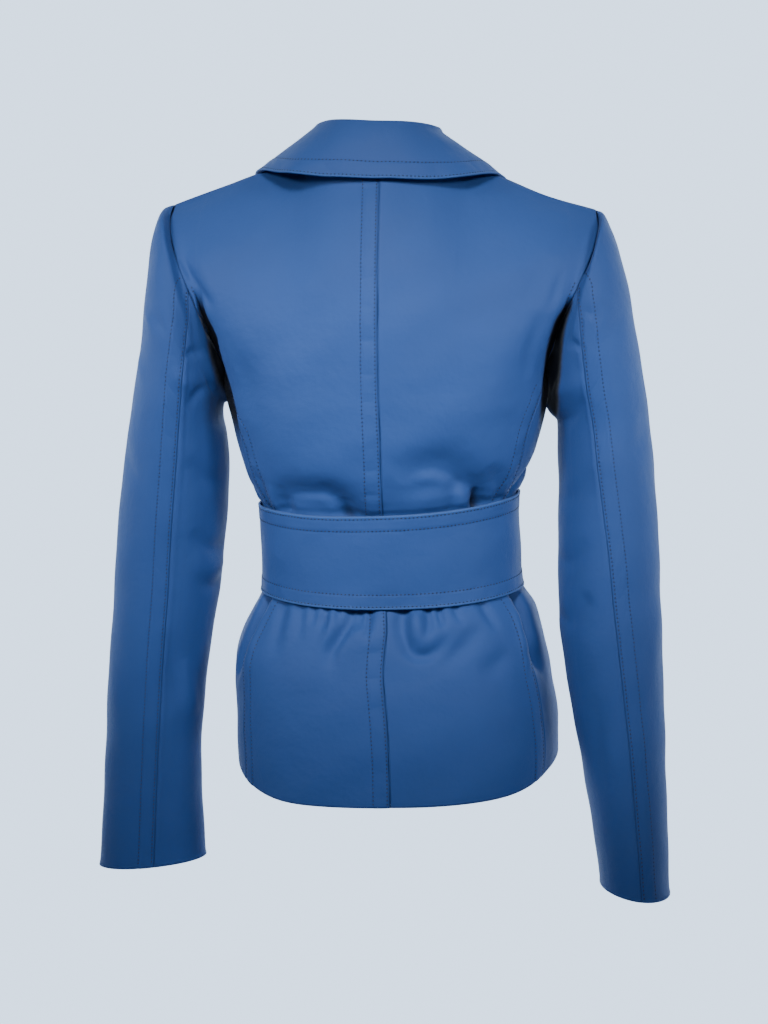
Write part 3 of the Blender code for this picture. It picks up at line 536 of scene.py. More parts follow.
# Cotton and thread: scale and detail of each noise, then how strongly each shows
DYE_NOISE, SLUB_NOISE, CRUMPLE_NOISE, TWIST_NOISE = (9.0, 4.0), (420.0, 2.0), (28.0, 6.0), (900.0, 1.0)
TWILL_ANGLE, TWILL_DISTORTION = math.radians(63), 0.8
DYE_SPREAD, THREAD_SPREAD = 0.16, 0.2
RIB_SHARE, SLUB_SHARE, WEAVE_TINT = 0.16, 0.12, 0.72
# Paler cotton where the relief is raised, at rims and seam edges: partly rubbed wear, partly painted
# highlight
WORN_AND_HIGHLIGHT_RATE, WORN_AND_HIGHLIGHT_MOST = 420.0, 0.34
# Darker cotton where the relief dips into seam grooves: painted shade
SUNK_SHADE_RATE, SUNK_SHADE_MOST, SUNK_SHADE_TINT = -900.0, 0.50, 0.35
# Near-black painted shade in the gaps beside the sleeves and in the deepest folds
SHADE_TINT = 0.02
CRUMPLE_DEPTH, WEAVE_DEPTH, RIB_BUMP, SLUB_BUMP = 0.004, 0.0002, 0.7, 0.5
DYE_ROUGHNESS, RIB_ROUGHNESS = 0.10, 0.06
TWIST_ROUGHNESS, THREAD_ROUGHNESS = 0.2, 0.5
SHEEN_ROUGHNESS, SHEEN_TINT, SPECULAR = 0.45, (0.72, 0.82, 1.0, 1.0), 0.16
STITCH_RAISE = 0.1
# Sockets of a mix node's share and colours, and of the mixed colour
MIX_INPUTS, MIX_OUTPUT = (0, 6, 7), 2
BLACK = (0.0, 0.0, 0.0, 1.0)

# Camera of the photograph, whose frame is 768 by 1024
FRAME_HEIGHT = 1024
FOCAL_PIXELS = 2013
CAMERA_DISTANCE = 1.82
CAMERA_HEIGHT = -0.053
CAMERA_TURN = math.radians(4.0)
CAMERA_DIP = math.radians(8.25)
SENSOR_WIDTH = 36.0

# Lights of the stage: the setting that their power comes from and their share of it, place, aim, and the
# cone's width in degrees
Light = namedtuple("Light", "name setting share place aim cone")
LIGHTS = (
    Light("Key", "key_power", 1.0, (0.03, 1.38, 0.82), (0.0, 0.1, -0.18), 23.0),
    Light("Left side", "side_power", 1.3, (1.2, 1.0, 0.4), (0.2, 0.05, -0.20), 24.0),
    Light("Right side", "side_power", 1.2, (-1.2, 1.0, 0.4), (-0.2, 0.05, -0.20), 24.0),
)
LIGHT_BLEND, LIGHT_RADIUS = 0.5, 0.25

# Paper that curves up into a lit wall on the side away from the camera, and the pale bowl that is seen
SWEEP_START = 7.0
SWEEP_FLOOR = 9.0
SWEEP_RADIUS = 1.6
SWEEP_ARC = SWEEP_RADIUS * math.pi / 2
SWEEP_WALL = 4.0
SWEEP_HALF_WIDTH = 7.0
SWEEP_LIT = (-0.6, -0.2)
SWEEP_SEGMENTS = (8, 64)
PAPER_ROUGHNESS = 0.9
BOWL_RADIUS = 14.0
BOWL_SEGMENTS = (48, 32)

SHEETS = {}


def smooth(at, knots, values):
    """The value at a place on a smooth curve through values at rising knots."""
    knots = np.asarray(knots, float)
    values = np.asarray(values, float)
    slopes = np.gradient(values, knots, axis=0)
    at = np.clip(np.asarray(at, float), knots[0], knots[-1])
    low = np.clip(np.searchsorted(knots, at, side="right") - 1, 0, len(knots) - 2)
    shape = at.shape + (1,) * (values.ndim - 1)
    span = (knots[low + 1] - knots[low]).reshape(shape)
    t = (at - knots[low]).reshape(shape) / span
    return (
        (2 * t**3 - 3 * t**2 + 1) * values[low]
        + (t**3 - 2 * t**2 + t) * span * slopes[low]
        + (3 * t**2 - 2 * t**3) * values[low + 1]
        + (t**3 - t**2) * span * slopes[low + 1]
    )


def through(points, at):
    """Points along a smooth curve through the given points, at shares of its length."""
    points = np.asarray(points, float)
    knots = np.concatenate([[0], np.cumsum(np.linalg.norm(np.diff(points, axis=0), axis=1))])
    return smooth(np.asarray(at, float) * knots[-1], knots, points)


def step(x, low, high):
    """0 before low, 1 after high, and a smooth rise between them."""
    t = np.clip((np.asarray(x, float) - low) / (high - low), 0, 1)
    return t * t * (3 - 2 * t)


def unit(vectors):
    return vectors / np.maximum(np.linalg.norm(vectors, axis=-1, keepdims=True), 1e-12)


def fold_lift(folds, angle, height, radius):
    """How far folds move the cloth outwards at an angle round it and a height."""
    place = np.stack([np.radians(angle) * radius, height], axis=-1)
    lift = np.zeros(place.shape[:-1])
    for fold in folds:
        places = [(math.radians(turn) * radius, z) for turn, z in fold.line]
        line = through(places, np.linspace(0, 1, FOLD_POINTS))
        near = np.full(lift.shape, np.inf)
        above, along = np.zeros(lift.shape), np.zeros(lift.shape)
        for number, (start, end) in enumerate(zip(line[:-1], line[1:])):
            way = end - start
            share = np.clip(((place - start) @ way) / (way @ way), 0, 1)
            off = place - start - share[..., None] * way
            distance = np.linalg.norm(off, axis=-1)
            closer = distance < near
            near = np.where(closer, distance, near)
            above = np.where(closer, np.sign(off[..., 1]), above)
            along = np.where(closer, (number + share) / (FOLD_POINTS - 1), along)
        first, last = (1 - along) ** FOLD_FADE_POWER, along**FOLD_FADE_POWER
        left = (1 - (1 - fold.ends[0]) * first) * (1 - (1 - fold.ends[1]) * last)
        lean = fold.lean * above * np.minimum(1, FOLD_LEAN_RATE * along * (1 - along))
        width = fold.half_width * (1 - lean)
        lift += fold.out * left * np.exp(-((near / width) ** 2))
    return lift


def belt_reach(height, inset):
    """1 away from the belt and 0 under it, with the change an inset in from its edges."""
    below = 1 - step(height, BELT_BOTTOM + inset - FOLD_BELT_FADE, BELT_BOTTOM + inset)
    return below + step(height, BELT_TOP - inset, BELT_TOP - inset + FOLD_BELT_FADE)


def torso_fold_lift(angle, height):
    """The torso's folds and how the belt draws the cloth in. Troughs run on under the belt's edges."""
    lift = fold_lift(TORSO_FOLDS, angle, height, MEAN_RADIUS)
    free, under = belt_reach(height, 0.0), belt_reach(height, BELT_UNDER)
    return np.maximum(lift, 0) * free + np.minimum(lift, 0) * under + BELT_DRAW * (free - 1)


def torso(side, angle, height, out=0.0):
    """Points of the torso at an angle from the centre back towards one side, with that signed angle
    and the ring's height beside them."""
    angle, height = np.broadcast_arrays(np.asarray(angle, float), np.asarray(height, float))
    table = np.array(RINGS)
    lean, half, back, front, slope = np.moveaxis(smooth(height, table[:, 0], table[:, 1:]), -1, 0)
    sine, cosine = np.sin(np.radians(angle)), np.cos(np.radians(angle))
    depth = np.where(cosine > 0, back, front)
    x = side * half * np.sign(sine) * np.abs(sine) ** (2 / ROUNDNESS)
    y = depth * np.sign(cosine) * np.abs(cosine) ** (2 / ROUNDNESS)
    normal = unit(np.stack([x / half**2, y / depth**2], axis=-1))
    near_hem = 1 - step(height, HEM_HEIGHT, HEM_HEIGHT + SIDE_HEM_FADE)
    rise = SIDE_HEM_RISE * np.abs(sine) ** SIDE_HEM_POWER * near_hem
    near_belt = step(height, *BELT_SAG_BELOW) * (1 - step(height, *BELT_SAG_ABOVE))
    rise = rise + BELT_SAG * (sine**2 - BELT_SAG_MEAN) * near_belt
    place = (lean + x + out * normal[..., 0], y + out * normal[..., 1], height + rise + slope * x)
    return np.stack([*place, side * angle, height], axis=-1)


def ring_heights():
    return np.concatenate([
        np.linspace(HEM_HEIGHT, BELT_BOTTOM, SKIRT_STEPS + 1),
        np.linspace(BELT_BOTTOM, BELT_TOP, WAIST_STEPS + 1)[1:],
        np.linspace(BELT_TOP, ARMHOLE_BACK_HEIGHT, BLOUSE_STEPS + 1)[1:],
    ])


def sided(points, side):
    """Points given for the wearer's left, on one side, with the shoulders' slant."""
    points = np.asarray(points, float) * (side, 1, 1)
    points[..., 2] += SHOULDER_SLOPE * points[..., 0] * step(points[..., 2], *SHOULDER_SLOPE_HEIGHTS)
    return points


def patch(bottom, top, inner, outer):
    """Rows of points that fill four meeting edges: bottom and top by column, inner and outer by row."""
    v = np.linspace(0, 1, len(inner))[:, None, None]
    u = np.linspace(0, 1, len(bottom))[None, :, None]
    rise = v * v * (3 - 2 * v)
    across = (1 - u) * inner[:, None] + u * outer[:, None]
    low = bottom[None] - ((1 - u) * inner[0] + u * outer[0])
    high = top[None] - ((1 - u) * inner[-1] + u * outer[-1])
    return across + (1 - rise) * low + rise * high


def with_yoke(lower, upper):
    """A panel's rings and the rows above them as one grid, eased where the two meet."""
    angle = np.broadcast_to(lower[-1, :, ANGLE], upper.shape[:2])
    upper = np.concatenate([upper, angle[..., None], upper[..., 2:]], axis=-1)
    grid = np.concatenate([lower, upper[1:]])
    rows = YOKE_STEPS + 1
    for _ in range(YOKE_EASING):
        mean = (grid[:-2, 1:-1] + grid[2:, 1:-1] + grid[1:-1, :-2] + grid[1:-1, 2:]) / 4
        grid[1:-1, 1:-1][-rows:] = (grid[1:-1, 1:-1][-rows:] + mean[-rows:]) / 2
    return grid


def shoulder_seam(side):
    t = np.linspace(0, 1, SHOULDER_STEPS + 1)[:, None]
    seam = sided((1 - t) * NECK_POINT + t * np.array(SHOULDER_POINT), side)
    if side < 0:
        seam[:, 2] -= RIGHT_SHOULDER_SAG * np.sin(np.pi * t[:, 0])
    return seam


def back_neck(side):
    """The back neckline, from the centre back to the neck point."""
    t = np.radians(np.linspace(0, 90, NECK_STEPS + 1))
    x = NECK_POINT[0] * np.sin(t)
    y = NECK_POINT[1] + (CENTRE_BACK_NECK[1] - NECK_POINT[1]) * np.cos(t)
    z = CENTRE_BACK_NECK[2] + (NECK_POINT[2] - CENTRE_BACK_NECK[2]) * np.sin(t) ** 2
    return sided(np.stack([x, y, z], axis=-1), side)


def back_seam_angle(heights):
    return BACK_SEAM_ANGLE + BACK_SEAM_WRAP * step(heights, *BACK_SEAM_WRAP_HEIGHTS)


def back_form(side):
    heights = ring_heights()[:, None]
    angles = np.linspace(0, 1, NECK_STEPS + SHOULDER_STEPS + 1) * back_seam_angle(heights)
    lower = torso(side, angles, heights)
    rows = np.linspace(0, 1, YOKE_STEPS + 1)
    bottom = lower[-1, :, :3]
    centre = [bottom[0]] + [(bottom[0][0] * (z / ARMHOLE_BACK_HEIGHT), y, z) for y, z in CENTRE_BACK[1:]]
    armhole = [bottom[-1], *sided(BACK_ARMHOLE, side), sided(SHOULDER_POINT, side)]
    top = np.concatenate([back_neck(side), shoulder_seam(side)[1:]])
    top[0] = centre[-1]
    hang = LEFT_BACK_RIDGE if side > 0 else RIGHT_BACK_RIDGE
    ridge = through([bottom[RIDGE_STEP], *sided(hang, side), top[RIDGE_STEP]], rows)
    inner = patch(bottom[: RIDGE_STEP + 1], top[: RIDGE_STEP + 1], through(centre, rows), ridge)
    outer = patch(bottom[RIDGE_STEP:], top[RIDGE_STEP:], ridge, through(armhole, rows))
    return with_yoke(lower, np.concatenate([inner, outer[:, 1:]], axis=1))


def side_form(side):
    heights = ring_heights()[:, None]
    share = np.linspace(0, 1, SIDE_STEPS + 1)
    angles = (1 - share) * back_seam_angle(heights) + share * FRONT_SEAM_ANGLE
    dip = UNDERARM_DROP * np.sin(np.pi * share) ** 2
    rise = np.clip((heights - SIDE_TUCK_TOP) / (ARMHOLE_BACK_HEIGHT - SIDE_TUCK_TOP), 0, 1)
    return torso(side, angles, heights - dip * rise)


def front_form(side):
    heights = ring_heights()
    table = np.array(RINGS)
    half = smooth(heights, table[:, 0], table[:, 2])
    roll_x = np.interp(heights, (BREAK_HEIGHT, ROLL_LINE[0][2]), (-LAP_HALF, ROLL_LINE[0][0]))
    edge = 180 - np.sign(roll_x) * np.degrees(np.arcsin((np.abs(roll_x) / half) ** (ROUNDNESS / 2)))
    share = np.linspace(0, 1, SHOULDER_STEPS + 1)[None]
    angles = edge[:, None] + (FRONT_SEAM_ANGLE - edge[:, None]) * share
    lift = LAP_LIFT * step(angles, *LAP_ANGLES) * (1 - step(heights, *LAP_FADE))[:, None]
    lower = torso(side, angles, heights[:, None], lift if side < 0 else 0.0)
    rows = np.linspace(0, 1, YOKE_STEPS + 1)
    bottom = lower[-1, :, :3]
    roll = [bottom[0], *sided(ROLL_LINE, side), sided(NECK_POINT, side)]
    armhole = [bottom[-1], *sided(FRONT_ARMHOLE, side), sided(SHOULDER_POINT, side)]
    return with_yoke(lower, patch(bottom, shoulder_seam(side), through(roll, rows), through(armhole, rows)))


def sleeve_form(side, table):
    """Rings from the armhole seam to the cuff, with the angle round the sleeve and the height."""
    back, flank, front = (form(side)[..., :3] for form in (back_form, side_form, front_form))
    yoke = slice(-YOKE_STEPS - 1, None)
    loop = np.concatenate([back[yoke, -1][::-1], flank[-1][1:-1], front[yoke, -1]])
    last = len(loop) - 1
    marks = (0, ELBOW_SEAM_STEP, YOKE_STEPS, YOKE_STEPS + SIDE_STEPS, last - ELBOW_SEAM_STEP, last)
    table = np.array(table)
    rows = smooth(np.linspace(0, len(table) - 1, SLEEVE_STEPS), np.arange(len(table)), table)
    rings, turned = [loop], []
    for section in map(SleeveSection._make, rows):
        turns = (0, section.elbow, *SIDE_PANEL_ANGLES, FRONT_PITCH_ANGLE, 360)
        turned.append(np.interp(np.arange(len(loop)), marks, turns))
        angles = np.radians(turned[-1])
        across = (1 + np.cos(angles)) / 2
        x = section.inner_x + (section.outer_x - section.inner_x) * across
        y = section.mid_y + section.half_depth * np.sin(angles)
        z = section.inner_z + (section.outer_z - section.inner_z) * across
        rings.append(np.stack([side * x, y, z], axis=-1))
    rings, turned = np.array(rings), np.array([turned[0], *turned])
    return np.concatenate([rings, turned[..., None], rings[..., 2:]], axis=-1)


def gaped(points):
    """Points with the gap between the back and the sleeve pressed in at their side, and how much painted
    shade it gets.
    """
    x, y, z = np.moveaxis(points, -1, 0)
    table = np.array(LEFT_GAP if x.mean() > 0 else RIGHT_GAP)
    middle, half, depth = np.moveaxis(smooth(z, table[:, 0], table[:, 1:]), -1, 0)
    pressed = depth * (1 - step(np.abs(x - middle) / half, *GAP_WALL)) * step(y, *GAP_REACH)
    return points - pressed[..., None] * (0, 1, 0), step(pressed, *GAP_SHADE)


def collar_section(neck, roll, edge):
    """Points across the collar: up the stand, over the roll and down the fall."""
    up = np.array([0.0, 0.0, 1.0])
    out = unit((edge - roll) * (1, 1, 0))
    radius = min(COLLAR_ROLL_RADIUS, COLLAR_ROLL_SHARE * np.linalg.norm(roll - neck) + COLLAR_ROLL_LEAST)
    inner, top, outer = roll - radius * out, roll + radius * up, roll + radius * out
    t = np.array(COLLAR_FALL_SHARES)[:, None]
    lift = COLLAR_FALL_BULGE * np.sin(np.pi * t)
    fall = (1 - t) * outer + t * edge + lift * unit(np.cross(np.cross(out, up), edge - outer))
    return np.array([neck, (neck + inner) / 2, inner, top, outer, *fall, edge])


def collar_form(tree):
    """Rows across the collar from the right end to the left, tilted as it hangs. Its fall lies on the
    panels and its neck edge is drawn in under the neckline."""
    sections = through(np.array(COLLAR).reshape(len(COLLAR), -1), np.linspace(0, 1, COLLAR_STEPS + 1))
    left = np.array([collar_section(*section.reshape(3, 3)) for section in sections])
    grid = np.concatenate([(left * (-1, 1, 1))[:0:-1], left])
    ends = 1 - np.abs(np.linspace(-1, 1, len(grid))) ** COLLAR_SHIFT_POWER
    grid[..., 0] += COLLAR_SHIFT * ends[:, None] * COLLAR_SHIFT_SHARES
    across = grid[..., 0]
    beyond = COLLAR_TILT_TOP - COLLAR_TILT_BACK * (across - COLLAR_TILT_TOP)
    grid[..., 2] += COLLAR_TILT * np.minimum(across, beyond)
    grid[:, COLLAR_FALL] = kept_clear(grid[:, COLLAR_FALL], tree, COLLAR_CLEARANCE, COLLAR_REST)
    for section in grid:
        near, normal = outward(tree, section[0])
        move = np.array(near - normal * COLLAR_SEAT) - section[0] - (0, 0, COLLAR_SEAT_DROP)
        section[:len(COLLAR_SEAT_SHARES)] += np.array(COLLAR_SEAT_SHARES)[:, None] * move
    return grid


def outward(tree, point):
    """The nearest place on the panels, and the way out of the garment there."""
    near, normal, _, _ = tree.find_nearest(Vector(point))
    return near, -normal if normal.dot(near - CHEST_MIDDLE) < 0 else normal


def kept_clear(points, tree, clearance, rest):
    """Points moved out to a clearance from the panels under them, or by a share down to it."""
    moved = points.copy()
    for place in np.ndindex(points.shape[:-1]):
        near, normal = outward(tree, points[place])
        height = (Vector(points[place]) - near).dot(normal)
        share = rest[place[-1]] * (1 - step(abs(points[place][0]), *COLLAR_REST_ENDS))
        share = 1.0 if height < clearance else share
        moved[place] = np.array(Vector(points[place]) + normal * (clearance - height) * share)
    return moved


def surface_tree(grids):
    """A search tree over the faces of several grids of points."""
    points, faces = [], []
    for grid in grids:
        rows, columns = grid.shape[:2]
        start = len(points)
        points.extend(map(tuple, grid.reshape(-1, 3)))
        corner = start + (np.arange(rows - 1)[:, None] * columns + np.arange(columns - 1)).ravel()
        faces.extend(np.stack([corner, corner + 1, corner + columns + 1, corner + columns], -1).tolist())
    return BVHTree.FromPolygons(points, faces)


def spread(steps, each):
    """Places along a grid's steps, each step split into so many parts: pairs of steps and parts."""
    places = [np.zeros(1)]
    start = 0
    for count, parts in zip(steps, each):
        places.append(start + np.arange(1, count * parts + 1) / parts)
        start += count
    return np.concatenate(places)


def edged(steps, near, near_parts, mid_parts):
    """Places along a grid's steps that lie closer beside its two ends, where seams are."""
    return np.concatenate([
        np.linspace(0, near, near_parts + 1),
        np.linspace(near, steps - near, mid_parts + 1)[1:],
        np.linspace(steps - near, steps, near_parts + 1)[1:],
    ])


def refined(grid, rows, columns):
    """A smooth finer grid through a grid's points, at places along its rows and columns. The columns may
    differ from row to row."""
    grid = smooth(rows, np.arange(len(grid)), grid)
    knots = np.arange(grid.shape[1])
    columns = np.broadcast_to(columns, (len(rows), np.shape(columns)[-1]))
    return np.array([smooth(at, knots, row) for at, row in zip(columns, grid)])


def grid_normals(points):
    across = np.gradient(points, axis=1)
    along = np.gradient(points, axis=0)
    return unit(np.cross(across, along))


def facing(array, edge):
    """An array of rows and columns, turned so that each row starts at the named edge."""
    if edge in ("bottom", "top"):
        array = array.swapaxes(0, 1)
    return array[:, ::-1] if edge in ("outer", "top") else array


def facing_back(array, edge):
    if edge in ("outer", "top"):
        array = array[:, ::-1]
    return array.swapaxes(0, 1) if edge in ("bottom", "top") else array


def running(points, axis):
    """Distance run along each row (axis 1) or column (axis 0) of points."""
    gaps = np.linalg.norm(np.diff(points, axis=axis), axis=-1)
    start = np.zeros_like(np.take(gaps, [0], axis=axis))
    return np.concatenate([start, np.cumsum(gaps, axis=axis)], axis=axis)


def between(at, knots, points):
    """Points at places along straight pieces through points at rising knots."""
    return np.stack([np.interp(at, knots, points[:, k]) for k in range(3)], axis=-1)


class Sheet:
    """The fine grid of one cut piece: its points, its outward normals and how much it is raised."""

    def __init__(self, points, away):
        self.points = points
        self.flat = points.copy()
        self.turned = np.sum(grid_normals(points) * away) < 0
        self.raised = np.zeros(points.shape[:2])
        self.shade = np.zeros(points.shape[:2])

    def normals(self):
        normals = grid_normals(self.points)
        return -normals if self.turned else normals

    def lift(self, height, mark=False):
        """Move the points out by a height each. Marked relief also colours the cloth: paler where raised
        (rubbed wear plus painted highlight), darker in grooves (painted shade).
        """
        self.points = self.points + height[..., None] * self.normals()
        if mark:
            self.raised = self.raised + height

    def from_edge(self, edge):
        """Distance of each point from an edge, and how far along that edge it is."""
        turned = facing(self.flat, edge)
        across, along = running(turned, 1), running(turned, 0)
        places = np.arange(0, along[-1, 0], EDGE_SPACING)
        line = between(places, along[:, 0], turned[:, 0])
        tree = KDTree(len(line))
        for number, place in enumerate(line):
            tree.insert(place, number)
        tree.balance()
        for place in zip(*np.nonzero(across < EDGE_REACH)):
            across[place] = tree.find(turned[place])[2]
        return facing_back(across, edge), facing_back(along, edge)

    def row_at(self, edge, distance):
        """Points and normals along the line at a distance from an edge."""
        run = facing(self.from_edge(edge)[0], edge)
        picked = []
        for array in (facing(self.points, edge), facing(self.normals(), edge)):
            picked.append(np.array([between(distance, at, line) for at, line in zip(run, array)]))
        return picked

    def size(self):
        """Width, length and area of the piece laid flat."""
        width = running(self.flat, 1)[:, -1].max()
        length = running(self.flat, 0)[-1].max()
        a, b = np.diff(self.flat[:-1], axis=1), np.diff(self.flat[:, :-1], axis=0)
        area = np.linalg.norm(np.cross(a, b), axis=-1).sum()
        return float(width), float(length), float(min(area, width * length))


def seam_dip(sheet, *edges):
    """Sewn edges roll in towards their seam."""
    for edge in edges:
        distance, _ = sheet.from_edge(edge)
        # Marked, so the cloth's colour also gets painted shade in the groove
        sheet.lift(-SEAM_DEPTH * np.exp(-((distance / SEAM_HALF_WIDTH) ** 2)), mark=True)


def stitched_band(sheet, edge, rows, kind, number=0, top=None):
    """The raised band between a seam or edge and its last row of stitches, drawn in along the rows, with
    short creases across it. On the body it ends below a top height."""
    strength, phase = PUCKERS[kind]
    phase += number
    distance, along = sheet.from_edge(edge)
    reach = 1.0 if top is None else 1 - step(sheet.flat[..., 2], top - BAND_END, top)
    band = reach * (1 - step(distance, rows[-1] - BAND_STEP, rows[-1] + BAND_STEP))
    relief = BAND_HEIGHT * band
    for row in rows:
        relief = relief - reach * ROW_DEPTH * np.exp(-(((distance - row) / ROW_HALF_WIDTH) ** 2))
    count = along / PUCKER_LENGTH + PUCKER_DRIFT * np.sin(along * PUCKER_DRIFT_RATE + phase) + phase
    crease = np.exp(-(((count - np.rint(count)) * PUCKER_LENGTH / CREASE_HALF_WIDTH) ** 2))
    crease *= CREASE_MEAN + CREASE_SPREAD * np.sin(CREASE_RATE * np.rint(count) + phase)
    inside = band * step(distance, rows[0], rows[0] + PUCKER_START)
    swell = (1 - np.cos(2 * np.pi * count)) / 2
    sheet.lift(relief + strength * inside * (PUCKER_HEIGHT * swell - CREASE_DEPTH * crease))


def free_rim(sheet, *edges):
    """A turned edge is a little fuller than the cloth beside it."""
    for edge in edges:
        distance, _ = sheet.from_edge(edge)
        # Marked, so the cloth is also painted paler on the rim: rubbed wear plus painted highlight
        sheet.lift(RIM_HEIGHT * np.exp(-((distance / RIM_WIDTH) ** 2)), mark=True)


def soft_wave(sheet, kind, number=0):
    """Slow uneven waves, as cloth has that was put on and hung."""
    height, phase = WAVES[kind]
    phase += number
    wave = np.sin(sheet.flat @ LONG_WAVE + phase) * np.sin(sheet.flat @ CROSS_WAVE + 2 * phase)
    wave += SHORT_WAVE_SHARE * np.sin(sheet.flat @ SHORT_WAVE + 3 * phase)
    sheet.lift(height * wave)


class Link:
    """A shader socket that sums can be written with."""

    def __init__(self, nodes, socket):
        self.nodes = nodes
        self.socket = socket

    def sum(self, operation, other):
        return self.nodes.add("ShaderNodeMath", {"operation": operation}, [self, other])

    def __add__(self, other):
        return self.sum("ADD", other)

    def __mul__(self, other):
        return self.sum("MULTIPLY", other)


class Nodes:
    """The nodes of one material."""

    def __init__(self, name):
        self.material = bpy.data.materials.new(name)
        self.material.use_nodes = True
        self.tree = self.material.node_tree
        self.shader = self.tree.nodes["Principled BSDF"]

    def put(self, socket, value):
        if isinstance(value, Link):
            self.tree.links.new(value.socket, socket)
        else:
            socket.default_value = value

    def add(self, kind, settings=None, inputs=(), output=0):
        """A node of a type, with its settings, then its sockets by number or name."""
        node = self.tree.nodes.new(kind)
        for name, value in (settings or {}).items():
            setattr(node, name, value)
        pairs = inputs.items() if isinstance(inputs, dict) else enumerate(inputs)
        for key, value in pairs:
            self.put(node.inputs[key], value)
        return Link(self, node.outputs[output])

    def noise(self, scale, detail):
        """Uneven grey by place on the object."""
        place = self.add("ShaderNodeTexCoord", output="Object")
        return self.add("ShaderNodeTexNoise", {}, {"Vector": place, "Scale": scale, "Detail": detail})

    def attribute(self, name):
        return self.add("ShaderNodeAttribute", {"attribute_name": name}, output="Fac")

    def between(self, value, low, high):
        return self.add("ShaderNodeClamp", {}, [value, low, high])

    def bump(self, **sockets):
        return self.add("ShaderNodeBump", {}, sockets)

    def mix(self, share, first, second):
        """One colour changed towards another by a share."""
        node = self.tree.nodes.new("ShaderNodeMix")
        node.data_type = "RGBA"
        for number, value in zip(MIX_INPUTS, (share, first, second)):
            self.put(node.inputs[number], value)
        return Link(self, node.outputs[MIX_OUTPUT])

    def finish(self, **sockets):
        for name, value in sockets.items():
            self.put(self.shader.inputs[name.replace("_", " ")], value)
        return self.material


def colour(value, scale=1.0):
    return (value[0] * scale, value[1] * scale, value[2] * scale, 1.0)


def cotton_material(settings):
    """Smooth blue cotton: a fine diagonal weave, slow uneven dye, paler ridges at seams and rims (rubbed
    wear plus painted highlight), painted shade in seam grooves, gaps and deep folds.
    """
    nodes = Nodes("blue cotton satin")
    cut = nodes.add("ShaderNodeTexCoord", output="UV")
    twill = nodes.add("ShaderNodeMapping", {}, {"Vector": cut, "Rotation": (0, 0, TWILL_ANGLE)})
    ribs = nodes.add(
        "ShaderNodeTexWave",
        {"wave_type": "BANDS", "bands_direction": "X"},
        {"Vector": twill, "Scale": settings.weave_scale, "Distortion": TWILL_DISTORTION, "Detail": 1.0},
        output="Fac",
    )
    dye, slub, crumple = nodes.noise(*DYE_NOISE), nodes.noise(*SLUB_NOISE), nodes.noise(*CRUMPLE_NOISE)
    ridge = nodes.attribute("raised")
    # Paler where the relief is raised: rubbed wear plus painted highlight
    worn_and_highlight = nodes.between(ridge * WORN_AND_HIGHLIGHT_RATE, 0.0, WORN_AND_HIGHLIGHT_MOST)
    # Darker where the relief dips into seam grooves: painted shade
    sunk_shade = nodes.between(ridge * SUNK_SHADE_RATE, 0.0, SUNK_SHADE_MOST)
    blue = settings.cloth_colour
    base = nodes.mix(dye, colour(blue, 1 - DYE_SPREAD), colour(blue, 1 + DYE_SPREAD))
    base = nodes.mix(ribs * RIB_SHARE + slub * SLUB_SHARE, base, colour(blue, WEAVE_TINT))
    base = nodes.mix(worn_and_highlight, base, colour(settings.worn_and_highlight_colour))
    base = nodes.mix(sunk_shade, base, colour(blue, SUNK_SHADE_TINT))
    # Near-black painted shade in the deep gaps and folds
    base = nodes.mix(nodes.attribute("shade"), base, colour(blue, SHADE_TINT))
    soft = nodes.bump(Strength=settings.crumple, Distance=CRUMPLE_DEPTH, Height=crumple)
    weave = ribs * RIB_BUMP + slub * SLUB_BUMP
    bump = nodes.bump(Strength=settings.weave_strength, Distance=WEAVE_DEPTH, Height=weave, Normal=soft)
    return nodes.finish(
        Base_Color=base,
        Roughness=dye * DYE_ROUGHNESS + ribs * RIB_ROUGHNESS + settings.roughness,
        Normal=bump,
        Sheen_Weight=settings.sheen,
        Sheen_Roughness=SHEEN_ROUGHNESS,
        Sheen_Tint=SHEEN_TINT,
        Specular_IOR_Level=SPECULAR,
    )


def thread_and_hole_shade_material(settings):
    """Twisted sewing thread, darker than the cloth: the thread's own colour plus painted shade of the
    needle holes round each stitch.
    """
    nodes = Nodes("blue sewing thread and painted hole shade")
    twist = nodes.noise(*TWIST_NOISE)
    dark, pale = (colour(settings.thread_and_hole_shade_colour, 1 + sign * THREAD_SPREAD) for sign in (-1, 1))
    base = nodes.mix(twist, dark, pale)
    return nodes.finish(Base_Color=base, Roughness=twist * TWIST_ROUGHNESS + THREAD_ROUGHNESS)


def shared_material(name, make):
    """The material of that name, made on its first use."""
    return bpy.data.materials.get(name) or make(bpy.context.scene.blazer_cloth)


def added(name, bm, material):
    """An object in the scene from a mesh that has been built."""
    mesh = bpy.data.meshes.new(name)
    bm.to_mesh(mesh)
    bm.free()
    mesh.materials.append(material)
    piece = bpy.data.objects.new(name, mesh)
    bpy.context.scene.collection.objects.link(piece)
    return piece


